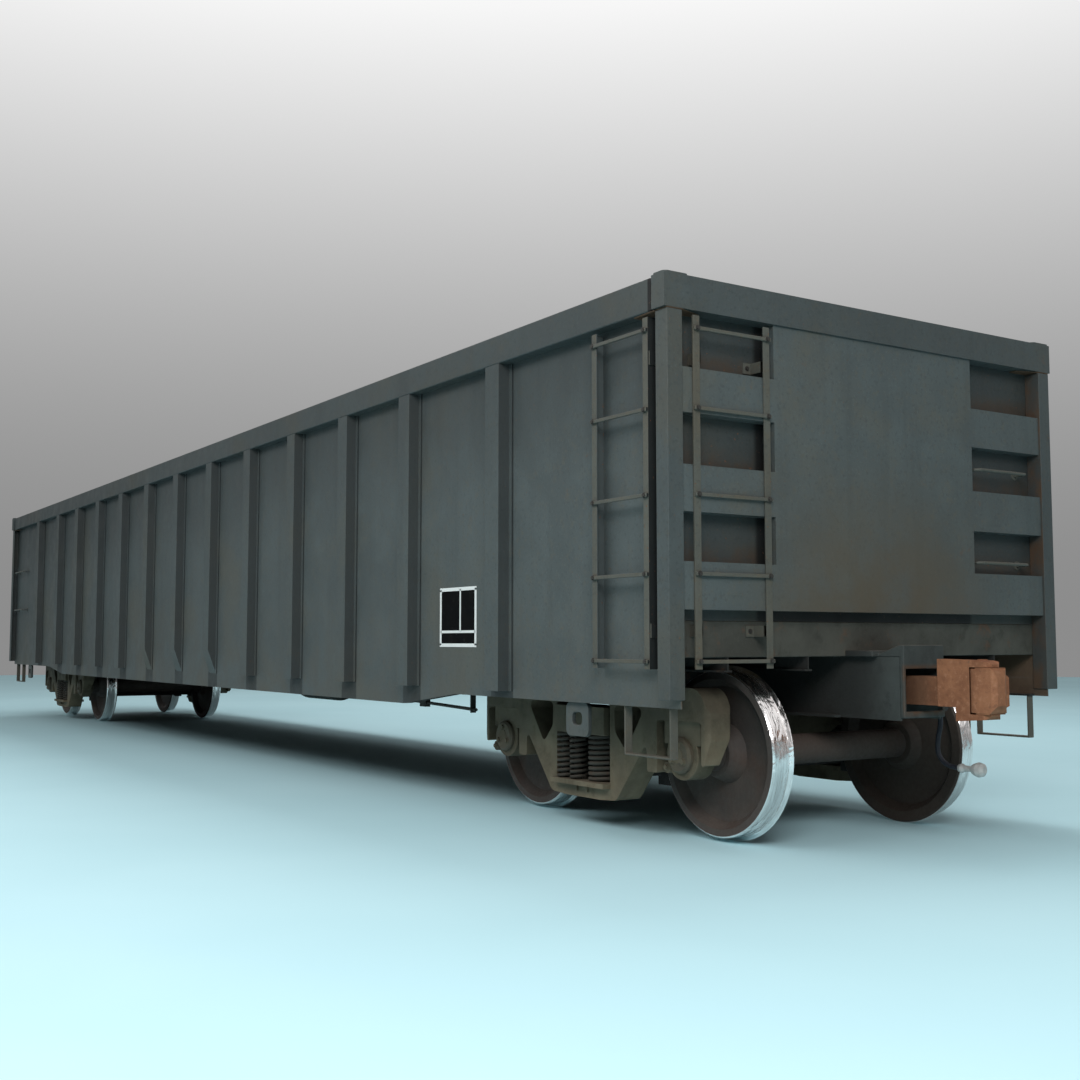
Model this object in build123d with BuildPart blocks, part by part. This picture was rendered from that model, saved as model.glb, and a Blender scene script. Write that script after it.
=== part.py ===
from build123d import *
import os
from math import cos, radians, sin

# Steel mill gondola car: a long open-topped freight car on two four-wheel trucks.
# Millimetres. X runs along the car, +X is the end without the hand brake ("a"), Z is up,
# and the origin is on the floor under the middle of the car, where the wheel flanges stand.

# Body, driving sizes
truck_centres = 13450
body_overhang = 1350          # inside of the end wall past the truck's middle
side_sheet_inside = 1487      # half the inside width
sheet = 10                    # thickness of the wall and floor sheets
floor_top = 1255
chord_bottom = 2873           # underside of the top chords
chord_height = 181
post_depth = 80               # how far the side posts stand out of the side sheet
rib_depth = 90                # how far the end ribs stand out of the end sheet
end_chord_reach = 15          # how far the end chord stands out past the end ribs
end_chord_overhang = 17       # how far the end chord stands out past the side chords
chord_corner_depth = 110      # depth of the end chord where it turns the corner
chord_corner_gap = 30         # slot between the end chord and the side chord
corner_post_leg = 100
corner_post_wall = 12
corner_post_bottom = 834
sill_end_bottom = 789         # side sheet's lower edge near the ends
sill_middle_bottom = 700      # the same between the trucks
sill_slope_start = 905        # the belly slopes down from here, measured in from the truck's middle
sill_slope_length = 740
sill_flange_width = 62
sill_flange = 12

# Underframe
beam_bottom = 1050            # underside of the cross beams and of the end sill
beam_width = 130
beam_web = 12
centre_sill_bottom = 700
centre_sill_half = 165        # outside of the centre sill's webs
centre_sill_flange_half = 215
striker_reach = 280           # the striker's face past the end of the body
striker_depth = 30
striker_top = 1116
striker_bottom = 714
striker_opening_half = 147
striker_opening_low = 750
striker_opening_high = 984
stringer_bottom = 970
stringer_places = (505, 1095)

# Running gear
wheel_base = 1870
tread_radius = 473
flange_height = 25
back_to_back = 1359           # between the backs of the two wheels of an axle
wheel_width = 140
axle_radius = 89
journal_radius = 82.5
journal_spacing = 2007
bearing_radius = 138
bearing_length = 130
running_gap = 0.5             # radial clearance of the bearing on the journal
frame_width = 180             # a truck side frame, across the car
centre_plate_level = 672

# Coupler
coupler_level = 877
coupler_pivot_depth = 290     # the coupler's pin inside the end of the body
shank_width = 140
shank_height = 157

# Worked out
axle_level = tread_radius + flange_height
truck_x = truck_centres / 2
end_sheet_inside = truck_x + body_overhang
sill_slope_outer = truck_x - sill_slope_start
sill_slope_inner = sill_slope_outer - sill_slope_length
side_sheet_outside = side_sheet_inside + sheet
post_face = side_sheet_outside + post_depth
end_sheet_outside = end_sheet_inside + sheet
rib_face = end_sheet_outside + rib_depth
end_face = rib_face + end_chord_reach
striker_face = end_face + striker_reach
coupler_pivot = end_face - coupler_pivot_depth
chord_top = chord_bottom + chord_height
end_chord_half = post_face + end_chord_overhang
floor_bottom = floor_top - sheet
side_chord_end = end_face - chord_corner_depth - chord_corner_gap
frame_middle = journal_spacing / 2
frame_inside = frame_middle - frame_width / 2
frame_outside = frame_middle + frame_width / 2

os.makedirs("parts", exist_ok=True)


def save(builder, name):
    """Label a finished piece and write it out."""
    builder.part.label = name
    export_step(builder.part, f"parts/{name}.step")


def both_ways(points):
    """A closed outline from its half on the right of the middle, listed from the middle outwards."""
    return [*points, *[(-u, v) for u, v in reversed(points)]]


def section_at(x):
    """A sketch plane across the car: local x is the car's Y, local y is its Z."""
    return Plane((x, 0, 0), x_dir=(0, 1, 0), z_dir=(1, 0, 0))


def elevation_at(y, x=0):
    """A sketch plane along the car: local x is the car's X from the given place, local y its Z."""
    return Plane((x, y, 0), x_dir=(1, 0, 0), z_dir=(0, -1, 0))


# Floor
with BuildPart() as floor_sheet:
    with BuildSketch(Plane.XY.offset(floor_bottom)):
        Rectangle(2 * end_sheet_inside, 2 * side_sheet_inside)
    extrude(amount=sheet)
save(floor_sheet, "floor_sheet")

# Side sheets, with the deeper belly between the trucks
belly = [
    (sill_slope_outer, sill_end_bottom),
    (sill_slope_inner, sill_middle_bottom),
    (-sill_slope_inner, sill_middle_bottom),
    (-sill_slope_outer, sill_end_bottom),
]
side_sheet_end = end_face - corner_post_wall
with BuildPart() as side_sheets:
    for side in (-1, 1):
        with BuildSketch(elevation_at(side * (side_sheet_inside + sheet / 2))):
            with BuildLine():
                Polyline(
                    (side_sheet_end, chord_bottom),
                    (side_sheet_end, sill_end_bottom),
                    *belly,
                    (-side_sheet_end, sill_end_bottom),
                    (-side_sheet_end, chord_bottom),
                    close=True,
                )
            make_face()
        extrude(amount=sheet / 2, both=True)
save(side_sheets, "side_sheets")

# Side sills: a flange along the inside of each side sheet's lower edge
with BuildPart() as side_sills:
    for side in (-1, 1):
        with BuildSketch(elevation_at(side * (side_sheet_inside - sill_flange_width / 2))):
            with BuildLine():
                Polyline(
                    (end_sheet_outside, sill_end_bottom),
                    *belly,
                    (-end_sheet_outside, sill_end_bottom),
                    (-end_sheet_outside, sill_end_bottom + sill_flange),
                    *[(x, z + sill_flange) for x, z in reversed(belly)],
                    (end_sheet_outside, sill_end_bottom + sill_flange),
                    close=True,
                )
            make_face()
        extrude(amount=sill_flange_width / 2, both=True)
save(side_sills, "side_sills")

# Side top chords
with BuildPart() as side_top_chords:
    for side in (-1, 1):
        with BuildSketch(Plane.XY.offset(chord_bottom)):
            with Locations((0, side * (side_sheet_inside + post_face) / 2)):
                Rectangle(2 * side_chord_end, post_face - side_sheet_inside)
        extrude(amount=chord_height)
save(side_top_chords, "side_top_chords")

# Side posts: pressed hats, thirteen a side, the middle three tapered at the foot
post_end_bay = 1215           # from the end post to the next one
post_end_inset = 300          # from the end post to the truck's middle
post_face_width = 165
post_base_width = 186
post_wall = 8
post_flange = 28
post_bottom = 830
post_slope_top = 1056         # the middle posts taper from here down to the sheet
post_slope_plate = 30
post_count = 5                # posts at one pitch on each side of the middle one
sloped_count = 1              # tapered posts on each side of the middle one
post_pitch = (truck_x - post_end_inset - post_end_bay) / post_count
post_places = [n * post_pitch for n in range(-post_count, post_count + 1)]
sloped_places = post_places[post_count - sloped_count:post_count + sloped_count + 1]
post_places += [-post_places[-1] - post_end_bay, post_places[-1] + post_end_bay]
hat_half = [
    (post_base_width / 2 + post_flange, side_sheet_outside),
    (post_base_width / 2 + post_flange, side_sheet_outside + post_wall),
    (post_base_width / 2, side_sheet_outside + post_wall),
    (post_face_width / 2, post_face),
]
hat_half_inner = [
    (post_face_width / 2 - post_wall, post_face - post_wall),
    (post_base_width / 2 - post_wall, side_sheet_outside),
]
with BuildPart() as side_posts:
    with BuildSketch(Plane.XY.offset(post_bottom)):
        for side in (-1, 1):
            for x in post_places:
                with BuildLine():
                    Polyline(
                        *[(x + u, side * v) for u, v in hat_half],
                        *[(x - u, side * v) for u, v in reversed(hat_half)],
                        *[(x - u, side * v) for u, v in reversed(hat_half_inner)],
                        *[(x + u, side * v) for u, v in hat_half_inner],
                        close=True,
                    )
                make_face()
    extrude(amount=chord_bottom - post_bottom)
    for side in (-1, 1):
        for x in sloped_places:
            with BuildSketch(section_at(x)):
                with BuildLine():
                    Polyline(
                        (side * side_sheet_outside, post_bottom),
                        (side * post_face, post_slope_top),
                        (side * post_face, post_bottom),
                        close=True,
                    )
                make_face()
            extrude(amount=post_base_width / 2, both=True, mode=Mode.SUBTRACT)
            with BuildSketch(section_at(x)):
                with BuildLine():
                    Polyline(
                        (side * side_sheet_outside, post_bottom),
                        (side * post_face, post_slope_top),
                        (side * (post_face - post_wall), post_slope_top),
                        (side * side_sheet_outside, post_bottom + post_slope_plate),
                        close=True,
                    )
                make_face()
            extrude(amount=post_face_width / 2, both=True)
save(side_posts, "side_posts")

# End walls: a flat sheet, a broad middle panel and three horizontal ribs on each side of it
panel_half = 820
rib_rows = [(1300, 1550), (1810, 2057), (2330, 2570)]    # lower and upper edge
rib_end = side_sheet_inside - corner_post_wall
with BuildPart() as end_sheets:
    for end in (-1, 1):
        with BuildSketch(section_at(end * end_sheet_inside)):
            with Locations((0, (floor_bottom + chord_bottom) / 2)):
                Rectangle(2 * side_sheet_inside, chord_bottom - floor_bottom)
        extrude(amount=end * sheet)
save(end_sheets, "end_sheets")

with BuildPart() as end_panels:
    for end in (-1, 1):
        with BuildSketch(section_at(end * end_sheet_outside)):
            with Locations((0, (rib_rows[0][0] + chord_bottom) / 2)):
                Rectangle(2 * panel_half, chord_bottom - rib_rows[0][0])
        extrude(amount=end * rib_depth)
save(end_panels, "end_panels")

with BuildPart() as end_ribs:
    for end in (-1, 1):
        with BuildSketch(section_at(end * end_sheet_outside)):
            for side in (-1, 1):
                for low, high in rib_rows:
                    with Locations((side * (panel_half + rib_end) / 2, (low + high) / 2)):
                        Rectangle(rib_end - panel_half, high - low)
        extrude(amount=end * rib_depth)
save(end_ribs, "end_ribs")

# End top chords: a box across the car, narrower where it turns the corner past the side chord,
# with a rounded cap on each corner
cap_thickness = 8
cap_length = 170              # along the end chord
cap_radius = 30
with BuildPart() as end_top_chords:
    for side in (-1, 1):
        with BuildSketch(Plane.XY.offset(chord_bottom)):
            with BuildLine():
                Polyline(
                    (side * end_face, -end_chord_half),
                    (side * end_face, end_chord_half),
                    (side * (end_face - chord_corner_depth), end_chord_half),
                    (side * (end_face - chord_corner_depth), side_sheet_inside),
                    (side * end_sheet_inside, side_sheet_inside),
                    (side * end_sheet_inside, -side_sheet_inside),
                    (side * (end_face - chord_corner_depth), -side_sheet_inside),
                    (side * (end_face - chord_corner_depth), -end_chord_half),
                    close=True,
                )
            make_face()
        extrude(amount=chord_height)
        with BuildSketch(Plane.XY.offset(chord_top)):
            for way in (-1, 1):
                cap_y = way * (end_chord_half - cap_length / 2)
                with Locations((side * (end_face - chord_corner_depth / 2), cap_y)):
                    RectangleRounded(chord_corner_depth, cap_length, cap_radius)
        extrude(amount=cap_thickness)
save(end_top_chords, "end_top_chords")

# Corner posts: channels open towards the middle of the car
gusset = 8
corner_post_top = chord_bottom - gusset
with BuildPart() as corner_posts:
    with BuildSketch(Plane.XY.offset(corner_post_bottom)):
        for end in (-1, 1):
            for side in (-1, 1):
                with BuildLine():
                    Polyline(
                        (end * (end_face - corner_post_leg), side * post_face),
                        (end * end_face, side * post_face),
                        (end * end_face, side * rib_end),
                        (end * end_sheet_outside, side * rib_end),
                        (end * end_sheet_outside, side * side_sheet_inside),
                        (end * side_sheet_end, side * side_sheet_inside),
                        (end * side_sheet_end, side * (post_face - corner_post_wall)),
                        (end * (end_face - corner_post_leg), side * (post_face - corner_post_wall)),
                        close=True,
                    )
                make_face()
    extrude(amount=corner_post_top - corner_post_bottom)
save(corner_posts, "corner_posts")

# Corner gussets: thin plates under the chords at the corners, outside the sheets
gusset_side_reach = 300       # along the side
gusset_end_reach = 260        # along the end
with BuildPart() as corner_gussets:
    with BuildSketch(Plane.XY.offset(corner_post_top)):
        for end in (-1, 1):
            for side in (-1, 1):
                with BuildLine():
                    Polyline(
                        (end * (end_face - gusset_side_reach), side * side_sheet_outside),
                        (end * (end_face - gusset_side_reach), side * (post_face - corner_post_wall)),
                        (end * (end_face - corner_post_leg), side * post_face),
                        (end * end_face, side * post_face),
                        (end * end_face, side * rib_end),
                        (end * (end_face - chord_corner_depth / 2), side * (post_face - gusset_end_reach)),
                        (end * end_sheet_outside, side * (post_face - gusset_end_reach)),
                        (end * end_sheet_outside, side * side_sheet_inside),
                        (end * side_sheet_end, side * side_sheet_inside),
                        (end * side_sheet_end, side * side_sheet_outside),
                        close=True,
                    )
                make_face()
    extrude(amount=gusset)
save(corner_gussets, "corner_gussets")

# End sills: channels under the floor at each end
end_sill_width = 90
with BuildPart() as end_sills:
    for end in (-1, 1):
        with BuildSketch(elevation_at(0)):
            with BuildLine():
                Polyline(
                    (end * end_sheet_outside, beam_bottom),
                    (end * end_sheet_outside, floor_bottom),
                    (end * (end_sheet_outside - end_sill_width), floor_bottom),
                    (end * (end_sheet_outside - end_sill_width), floor_bottom - beam_web),
                    (end * (end_sheet_outside - beam_web), floor_bottom - beam_web),
                    (end * (end_sheet_outside - beam_web), beam_bottom + beam_web),
                    (end * (end_sheet_outside - end_sill_width), beam_bottom + beam_web),
                    (end * (end_sheet_outside - end_sill_width), beam_bottom),
                    close=True,
                )
            make_face()
        extrude(amount=side_sheet_inside, both=True)
save(end_sills, "end_sills")

# Cross beams: I sections from side to side, under every post between the trucks
beam_places = post_places[:2 * post_count + 1]
beam_height = floor_bottom - beam_bottom
with BuildPart() as cross_beams:
    for x in beam_places:
        with BuildSketch(elevation_at(0)):
            with Locations((x, (beam_bottom + floor_bottom) / 2)):
                Rectangle(beam_web, beam_height)
            with Locations((x, beam_bottom + beam_web / 2), (x, floor_bottom - beam_web / 2)):
                Rectangle(beam_width, beam_web)
        extrude(amount=side_sheet_inside, both=True)
save(cross_beams, "cross_beams")

# Body bolsters: box beams over the trucks, their ends raised over the truck side frames
bolster_half = 220
bolster_low = 800
bolster_tip_low = 925
bolster_low_half = 720
bolster_rise_end = 860
with BuildPart() as body_bolsters:
    for end in (-1, 1):
        for side in (-1, 1):
            with BuildSketch(section_at(end * truck_x)):
                with BuildLine():
                    Polyline(
                        (side * centre_sill_flange_half, floor_bottom),
                        (side * centre_sill_flange_half, bolster_low),
                        (side * bolster_low_half, bolster_low),
                        (side * bolster_rise_end, bolster_tip_low),
                        (side * side_sheet_inside, bolster_tip_low),
                        (side * side_sheet_inside, floor_bottom),
                        close=True,
                    )
                make_face()
            extrude(amount=bolster_half, both=True)
save(body_bolsters, "body_bolsters")

# Stringers from the bolsters to the end sills, hanging lower than the sills
stringer_web = 10
stringer_flange = 55
stringer_start = truck_x + bolster_half
with BuildPart() as stringers:
    for end in (-1, 1):
        with BuildSketch(section_at(end * stringer_start)):
            for y in stringer_places:
                for side in (-1, 1):
                    with Locations((side * y, (beam_bottom + floor_bottom) / 2)):
                        Rectangle(stringer_web, floor_bottom - beam_bottom)
        extrude(amount=end * (end_sheet_outside - end_sill_width - stringer_start))
        with BuildSketch(section_at(end * stringer_start)):
            for y in stringer_places:
                for side in (-1, 1):
                    with Locations((side * y, (stringer_bottom + beam_bottom) / 2)):
                        Rectangle(stringer_web, beam_bottom - stringer_bottom)
                    with Locations((side * y, stringer_bottom + stringer_web / 2)):
                        Rectangle(stringer_flange, stringer_web)
        extrude(amount=end * (end_sheet_outside - stringer_start))
save(stringers, "stringers")

# Centre sill: two webs with flanges under a top plate, open below, with the round plates that
# stand on the trucks
sill_web = 14
centre_plate_radius = 178
centre_sill_end = striker_face - striker_depth
flange_end = end_sheet_outside - end_sill_width
flange_reach = centre_sill_flange_half - centre_sill_half + sill_web
with BuildPart() as centre_sill:
    with BuildSketch(section_at(0)):
        with Locations((0, beam_bottom - sill_web / 2)):
            Rectangle(2 * centre_sill_half, sill_web)
        for side in (-1, 1):
            web_y = side * (centre_sill_half - sill_web / 2)
            with Locations((web_y, (centre_sill_bottom + beam_bottom) / 2)):
                Rectangle(sill_web, beam_bottom - centre_sill_bottom)
    extrude(amount=centre_sill_end, both=True)
    with BuildSketch(section_at(0)):
        for side in (-1, 1):
            for z in (centre_sill_bottom + sill_web / 2, beam_bottom - sill_web / 2):
                with Locations((side * (centre_sill_flange_half - flange_reach / 2), z)):
                    Rectangle(flange_reach, sill_web)
    extrude(amount=flange_end, both=True)
    with BuildSketch(Plane.XY.offset(centre_plate_level)):
        for end in (-1, 1):
            with Locations((end * truck_x, 0)):
                Circle(centre_plate_radius)
    extrude(amount=centre_sill_bottom + sill_web - centre_plate_level)
save(centre_sill, "centre_sill")

# Strikers: cast faces on the ends of the centre sill, with the opening that the coupler swings in
striker_wedge_start = end_face + 50
striker_plate = 35
striker_plate_end = end_face + 100
with BuildPart() as strikers:
    for end in (-1, 1):
        with BuildSketch(section_at(end * centre_sill_end)):
            with Locations((0, (striker_bottom + striker_top) / 2)):
                Rectangle(2 * centre_sill_half, striker_top - striker_bottom)
            with Locations((0, (striker_opening_low + striker_opening_high) / 2)):
                Rectangle(
                    2 * striker_opening_half,
                    striker_opening_high - striker_opening_low,
                    mode=Mode.SUBTRACT,
                )
        extrude(amount=end * striker_depth)
        with BuildSketch(elevation_at(0)):
            with BuildLine():
                Polyline(
                    (end * striker_wedge_start, beam_bottom),
                    (end * centre_sill_end, beam_bottom),
                    (end * centre_sill_end, striker_top),
                    close=True,
                )
            make_face()
        extrude(amount=centre_sill_half, both=True)
        with BuildSketch(section_at(end * end_sheet_outside)):
            with Locations((0, beam_bottom + striker_plate / 2)):
                Rectangle(2 * centre_sill_flange_half, striker_plate)
        extrude(amount=end * (striker_plate_end - end_sheet_outside))
save(strikers, "strikers")

# Ladders: angle stiles and flat rungs, one on the side and one on the end of two opposite corners
rung_levels = [1030, 1485, 1900, 2355, 2780]
stile_top = 2850
stile_bottom = 990
stile_leg = 45
stile_wall = 8
rung_height = 20
rung_thickness = 14
ladder_gap = 4                # between the ladder's face and the posts' outer plane
ladder_inset = 170            # from the car's end to the side ladder
side_ladder_width = 511
side_ladder_outer = end_face - ladder_inset
side_ladder = (side_ladder_outer - side_ladder_width, side_ladder_outer)
end_ladder_inset = 177        # from the car's side to the end ladder
end_ladder_width = 540
end_ladder_outer = post_face - end_ladder_inset
end_ladder = (end_ladder_outer - end_ladder_width, end_ladder_outer)
side_ladder_face = post_face - ladder_gap
end_ladder_face = end_face - ladder_gap
with BuildPart() as ladder_stiles:
    with BuildSketch(Plane.XY.offset(stile_bottom)):
        for corner in (1, -1):
            for x, inward in ((side_ladder[0], 1), (side_ladder[1], -1)):
                with BuildLine():
                    Polyline(
                        (corner * x, -corner * side_ladder_face),
                        (corner * (x + inward * stile_leg), -corner * side_ladder_face),
                        (corner * (x + inward * stile_leg), -corner * (side_ladder_face - stile_wall)),
                        (corner * (x + inward * stile_wall), -corner * (side_ladder_face - stile_wall)),
                        (corner * (x + inward * stile_wall), -corner * side_sheet_outside),
                        (corner * x, -corner * side_sheet_outside),
                        close=True,
                    )
                make_face()
            for y, inward in ((end_ladder[0], 1), (end_ladder[1], -1)):
                with BuildLine():
                    Polyline(
                        (corner * end_ladder_face, -corner * y),
                        (corner * end_ladder_face, -corner * (y + inward * stile_leg)),
                        (corner * (end_ladder_face - stile_wall), -corner * (y + inward * stile_leg)),
                        (corner * (end_ladder_face - stile_wall), -corner * (y + inward * stile_wall)),
                        (corner * rib_face, -corner * (y + inward * stile_wall)),
                        (corner * rib_face, -corner * y),
                        close=True,
                    )
                make_face()
    extrude(amount=stile_top - stile_bottom)
save(ladder_stiles, "ladder_stiles")

with BuildPart() as ladder_rungs:
    for level in rung_levels:
        with BuildSketch(Plane.XY.offset(level - rung_height / 2)):
            for corner in (1, -1):
                with Locations(
                    (corner * sum(side_ladder) / 2, -corner * (side_ladder_face + rung_thickness / 2))
                ):
                    Rectangle(side_ladder[1] - side_ladder[0], rung_thickness)
                with Locations(
                    (corner * (end_ladder_face + rung_thickness / 2), -corner * sum(end_ladder) / 2)
                ):
                    Rectangle(rung_thickness, end_ladder[1] - end_ladder[0])
        extrude(amount=rung_height)
save(ladder_rungs, "ladder_rungs")

# Grab irons on the other corners: round bars bent back to the wall at both ends
grab_levels = [1618, 2194]
grab_radius = 10
grab_bend = 25
grab_inset = 240              # from the end of the body
grab_length = 600
side_grab = (end_face - grab_inset - grab_length, end_face - grab_inset)
end_grab_room = 50            # beside the middle panel
end_grab_inset = 237          # from the side of the body
end_grab = (panel_half + end_grab_room, post_face - end_grab_inset)
side_grab_face = post_face - grab_radius
end_grab_face = end_face - grab_radius
with BuildPart() as grab_irons:
    for level in grab_levels:
        for corner in (1, -1):
            side_route = [
                (side_grab[0], side_sheet_outside),
                (side_grab[0], side_grab_face - grab_bend),
                (side_grab[0] + grab_bend, side_grab_face),
                (side_grab[1] - grab_bend, side_grab_face),
                (side_grab[1], side_grab_face - grab_bend),
                (side_grab[1], side_sheet_outside),
            ]
            end_route = [
                (end_sheet_outside, end_grab[0]),
                (end_grab_face - grab_bend, end_grab[0]),
                (end_grab_face, end_grab[0] + grab_bend),
                (end_grab_face, end_grab[1] - grab_bend),
                (end_grab_face - grab_bend, end_grab[1]),
                (end_sheet_outside, end_grab[1]),
            ]
            for route in (side_route, end_route):
                with BuildLine() as bar:
                    Polyline(*[(corner * u, corner * v, level) for u, v in route])
                with BuildSketch(bar.line ^ 0):
                    Circle(grab_radius)
                sweep(path=bar.line, transition=Transition.RIGHT)
save(grab_irons, "grab_irons")

# Sill steps: flat bar stirrups under the side sills at the four corners
step_length = 403
step_span = (end_sheet_inside - step_length, end_sheet_inside)
step_bottom = 523
step_bar = 12
step_width = 50
step_middle = side_sheet_inside - sill_flange_width / 2
with BuildPart() as sill_steps:
    for end in (-1, 1):
        for side in (-1, 1):
            with BuildSketch(elevation_at(side * step_middle)):
                with BuildLine():
                    Polyline(
                        (end * step_span[0], sill_end_bottom),
                        (end * step_span[0], step_bottom),
                        (end * step_span[1], step_bottom),
                        (end * step_span[1], sill_end_bottom),
                        (end * (step_span[1] - step_bar), sill_end_bottom),
                        (end * (step_span[1] - step_bar), step_bottom + step_bar),
                        (end * (step_span[0] + step_bar), step_bottom + step_bar),
                        (end * (step_span[0] + step_bar), sill_end_bottom),
                        close=True,
                    )
                make_face()
            extrude(amount=step_width / 2, both=True)
save(sill_steps, "sill_steps")

# Lifting lugs: plates with a rounded eye, under the side sills beside the trucks
lug_offset = 480              # from the truck's middle towards the end
lug_place = truck_x + lug_offset
lug_width = 226
lug_bottom = 594
lug_plate = 25
lug_radius = 40
lug_eye = (95, 72, 25)        # width, height, corner radius
lug_eye_level = 695
with BuildPart() as lifting_lugs:
    for end in (-1, 1):
        for side in (-1, 1):
            with BuildSketch(elevation_at(side * step_middle)) as lug:
                with Locations((end * lug_place, (lug_bottom + sill_end_bottom) / 2)):
                    Rectangle(lug_width, sill_end_bottom - lug_bottom)
                fillet(lug.vertices().group_by(Axis.Z)[0], lug_radius)
                with Locations((end * lug_place, lug_eye_level)):
                    RectangleRounded(*lug_eye, mode=Mode.SUBTRACT)
            extrude(amount=lug_plate / 2, both=True)
save(lifting_lugs, "lifting_lugs")

# Air brake gear under the car
hanger = 14                   # plates that the brake gear hangs by
pipe_radius = 21
pipe_y = -420
pipe_room = 505               # from the ends of the pipe to the body bolsters
pipe_half = truck_x - bolster_half - pipe_room
pipe_level = beam_bottom - pipe_radius
with BuildPart() as brake_pipe:
    with BuildSketch(section_at(0)):
        with Locations((pipe_y, pipe_level)):
            Circle(pipe_radius)
    extrude(amount=pipe_half, both=True)
save(brake_pipe, "brake_pipe")

# Brake rods: one behind each side sill, on two hangers from the cross beams, with a clip
rod_radius = 12
rod_y = 1000
rod_beams = (post_pitch * 4, post_pitch * 5)
rod_levels = (680, 648)
rod_overhang = 45
rod_clip_offset = 307
rod_clip = (rod_beams[0] + rod_clip_offset, 98, 64, 40)    # place, length, height, width
rod_rise = (rod_levels[1] - rod_levels[0]) / (rod_beams[1] - rod_beams[0])
with BuildPart() as brake_rods:
    for end in (-1, 1):
        rod_ends = (rod_beams[0], rod_beams[1] + rod_overhang)
        with BuildLine() as rod:
            Line(*[(end * x, -end * rod_y, rod_levels[0] + (x - rod_beams[0]) * rod_rise) for x in rod_ends])
        with BuildSketch(rod.line ^ 0):
            Circle(rod_radius)
        sweep(path=rod.line)
        with BuildSketch(elevation_at(-end * rod_y)):
            for x, z in zip(rod_beams, rod_levels):
                with Locations((end * x, (z - 2 * rod_radius + beam_bottom) / 2)):
                    Rectangle(hanger, beam_bottom - z + 2 * rod_radius)
            with Locations((end * rod_clip[0], rod_levels[0] + (rod_clip[0] - rod_beams[0]) * rod_rise)):
                Rectangle(rod_clip[1], rod_clip[2])
        extrude(amount=rod_clip[3] / 2, both=True)
save(brake_rods, "brake_rods")

# Air reservoir on two straps
reservoir_centre = (1750, -620, 800)
strap_half = 225
strap_width = 240
tank_half = [                 # from the middle of the tank along the car, and radius
    (330, 215),
    (370, 190),
    (400, 110),
    (400, 0),
]
with BuildPart() as air_reservoir:
    with BuildSketch(elevation_at(reservoir_centre[1], reservoir_centre[0])):
        with BuildLine():
            Polyline(*[(u, reservoir_centre[2] + r) for u, r in both_ways(tank_half)], close=True)
        make_face()
    revolve(axis=Axis(reservoir_centre, (1, 0, 0)))
    for way in (-1, 1):
        with BuildSketch(section_at(reservoir_centre[0] + way * strap_half)):
            with Locations((reservoir_centre[1], (reservoir_centre[2] + floor_bottom) / 2)):
                Rectangle(strap_width, floor_bottom - reservoir_centre[2])
        extrude(amount=hanger / 2, both=True)
save(air_reservoir, "air_reservoir")

# Brake cylinder, on a bracket from the centre sill, with its push rod
cylinder_centre = (-1650, 560, 880)
cylinder_half = [
    (250, 150),
    (250, 185),
    (285, 185),
    (310, 120),
    (310, 28),
    (560, 28),
    (560, 0),
]
cylinder_back = -290
with BuildPart() as brake_cylinder:
    with BuildSketch(elevation_at(cylinder_centre[1], cylinder_centre[0])):
        with BuildLine():
            Polyline(
                (cylinder_back, cylinder_centre[2]),
                (cylinder_back, cylinder_centre[2] + cylinder_half[0][1]),
                *[(u, cylinder_centre[2] + r) for u, r in cylinder_half],
                close=True,
            )
        make_face()
    revolve(axis=Axis(cylinder_centre, (1, 0, 0)))
    with BuildSketch(section_at(cylinder_centre[0])):
        with Locations(((centre_sill_half + cylinder_centre[1]) / 2, cylinder_centre[2])):
            Rectangle(cylinder_centre[1] - centre_sill_half, cylinder_half[0][1])
    extrude(amount=hanger, both=True)
save(brake_cylinder, "brake_cylinder")

# Control valve: a cast block on its pipe bracket beside the centre sill
valve_size = (260, 230, 210)
valve_corner = 50
valve_centre = (300, -450, 880)
with BuildPart() as control_valve:
    with BuildSketch(Plane.XY.offset(valve_centre[2] - valve_size[2] / 2)):
        with Locations(valve_centre[:2]):
            RectangleRounded(valve_size[0], valve_size[1], valve_corner)
    extrude(amount=valve_size[2])
    with BuildSketch(section_at(valve_centre[0])):
        with Locations(((valve_centre[1] - centre_sill_half) / 2, valve_centre[2])):
            Rectangle(-centre_sill_half - valve_centre[1], valve_size[2] / 2)
    extrude(amount=hanger, both=True)
save(control_valve, "control_valve")

# Hand brake on the "b" end: a gear housing with an upright wheel
brake_wheel_radius = 270
brake_wheel_level = 2330
brake_wheel_y = 430
brake_wheel_rim = 15
brake_wheel_spoke = 24
brake_housing = (80, 280, 400, 60)       # depth, width, height, corner radius
brake_wheel_reach = 60
brake_wheel_face = rib_face + brake_housing[0] + brake_wheel_reach
with BuildPart() as hand_brake:
    with BuildSketch(section_at(-rib_face)):
        with Locations((brake_wheel_y, brake_wheel_level)):
            RectangleRounded(*brake_housing[1:])
    extrude(amount=-brake_housing[0])
    with BuildSketch(section_at(-rib_face)):
        with Locations((brake_wheel_y, brake_wheel_level)):
            Circle(2 * brake_wheel_spoke)
    extrude(amount=rib_face - brake_wheel_face - brake_wheel_rim)
    with BuildSketch(section_at(brake_wheel_rim - brake_wheel_face)):
        with Locations((brake_wheel_y, brake_wheel_level)):
            Circle(brake_wheel_radius)
            Circle(brake_wheel_radius - 2 * brake_wheel_rim, mode=Mode.SUBTRACT)
        with Locations((brake_wheel_y, brake_wheel_level)):
            Rectangle(2 * brake_wheel_radius - brake_wheel_rim, brake_wheel_spoke)
            Rectangle(brake_wheel_spoke, 2 * brake_wheel_radius - brake_wheel_rim)
    extrude(amount=-2 * brake_wheel_rim)
save(hand_brake, "hand_brake")

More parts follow.
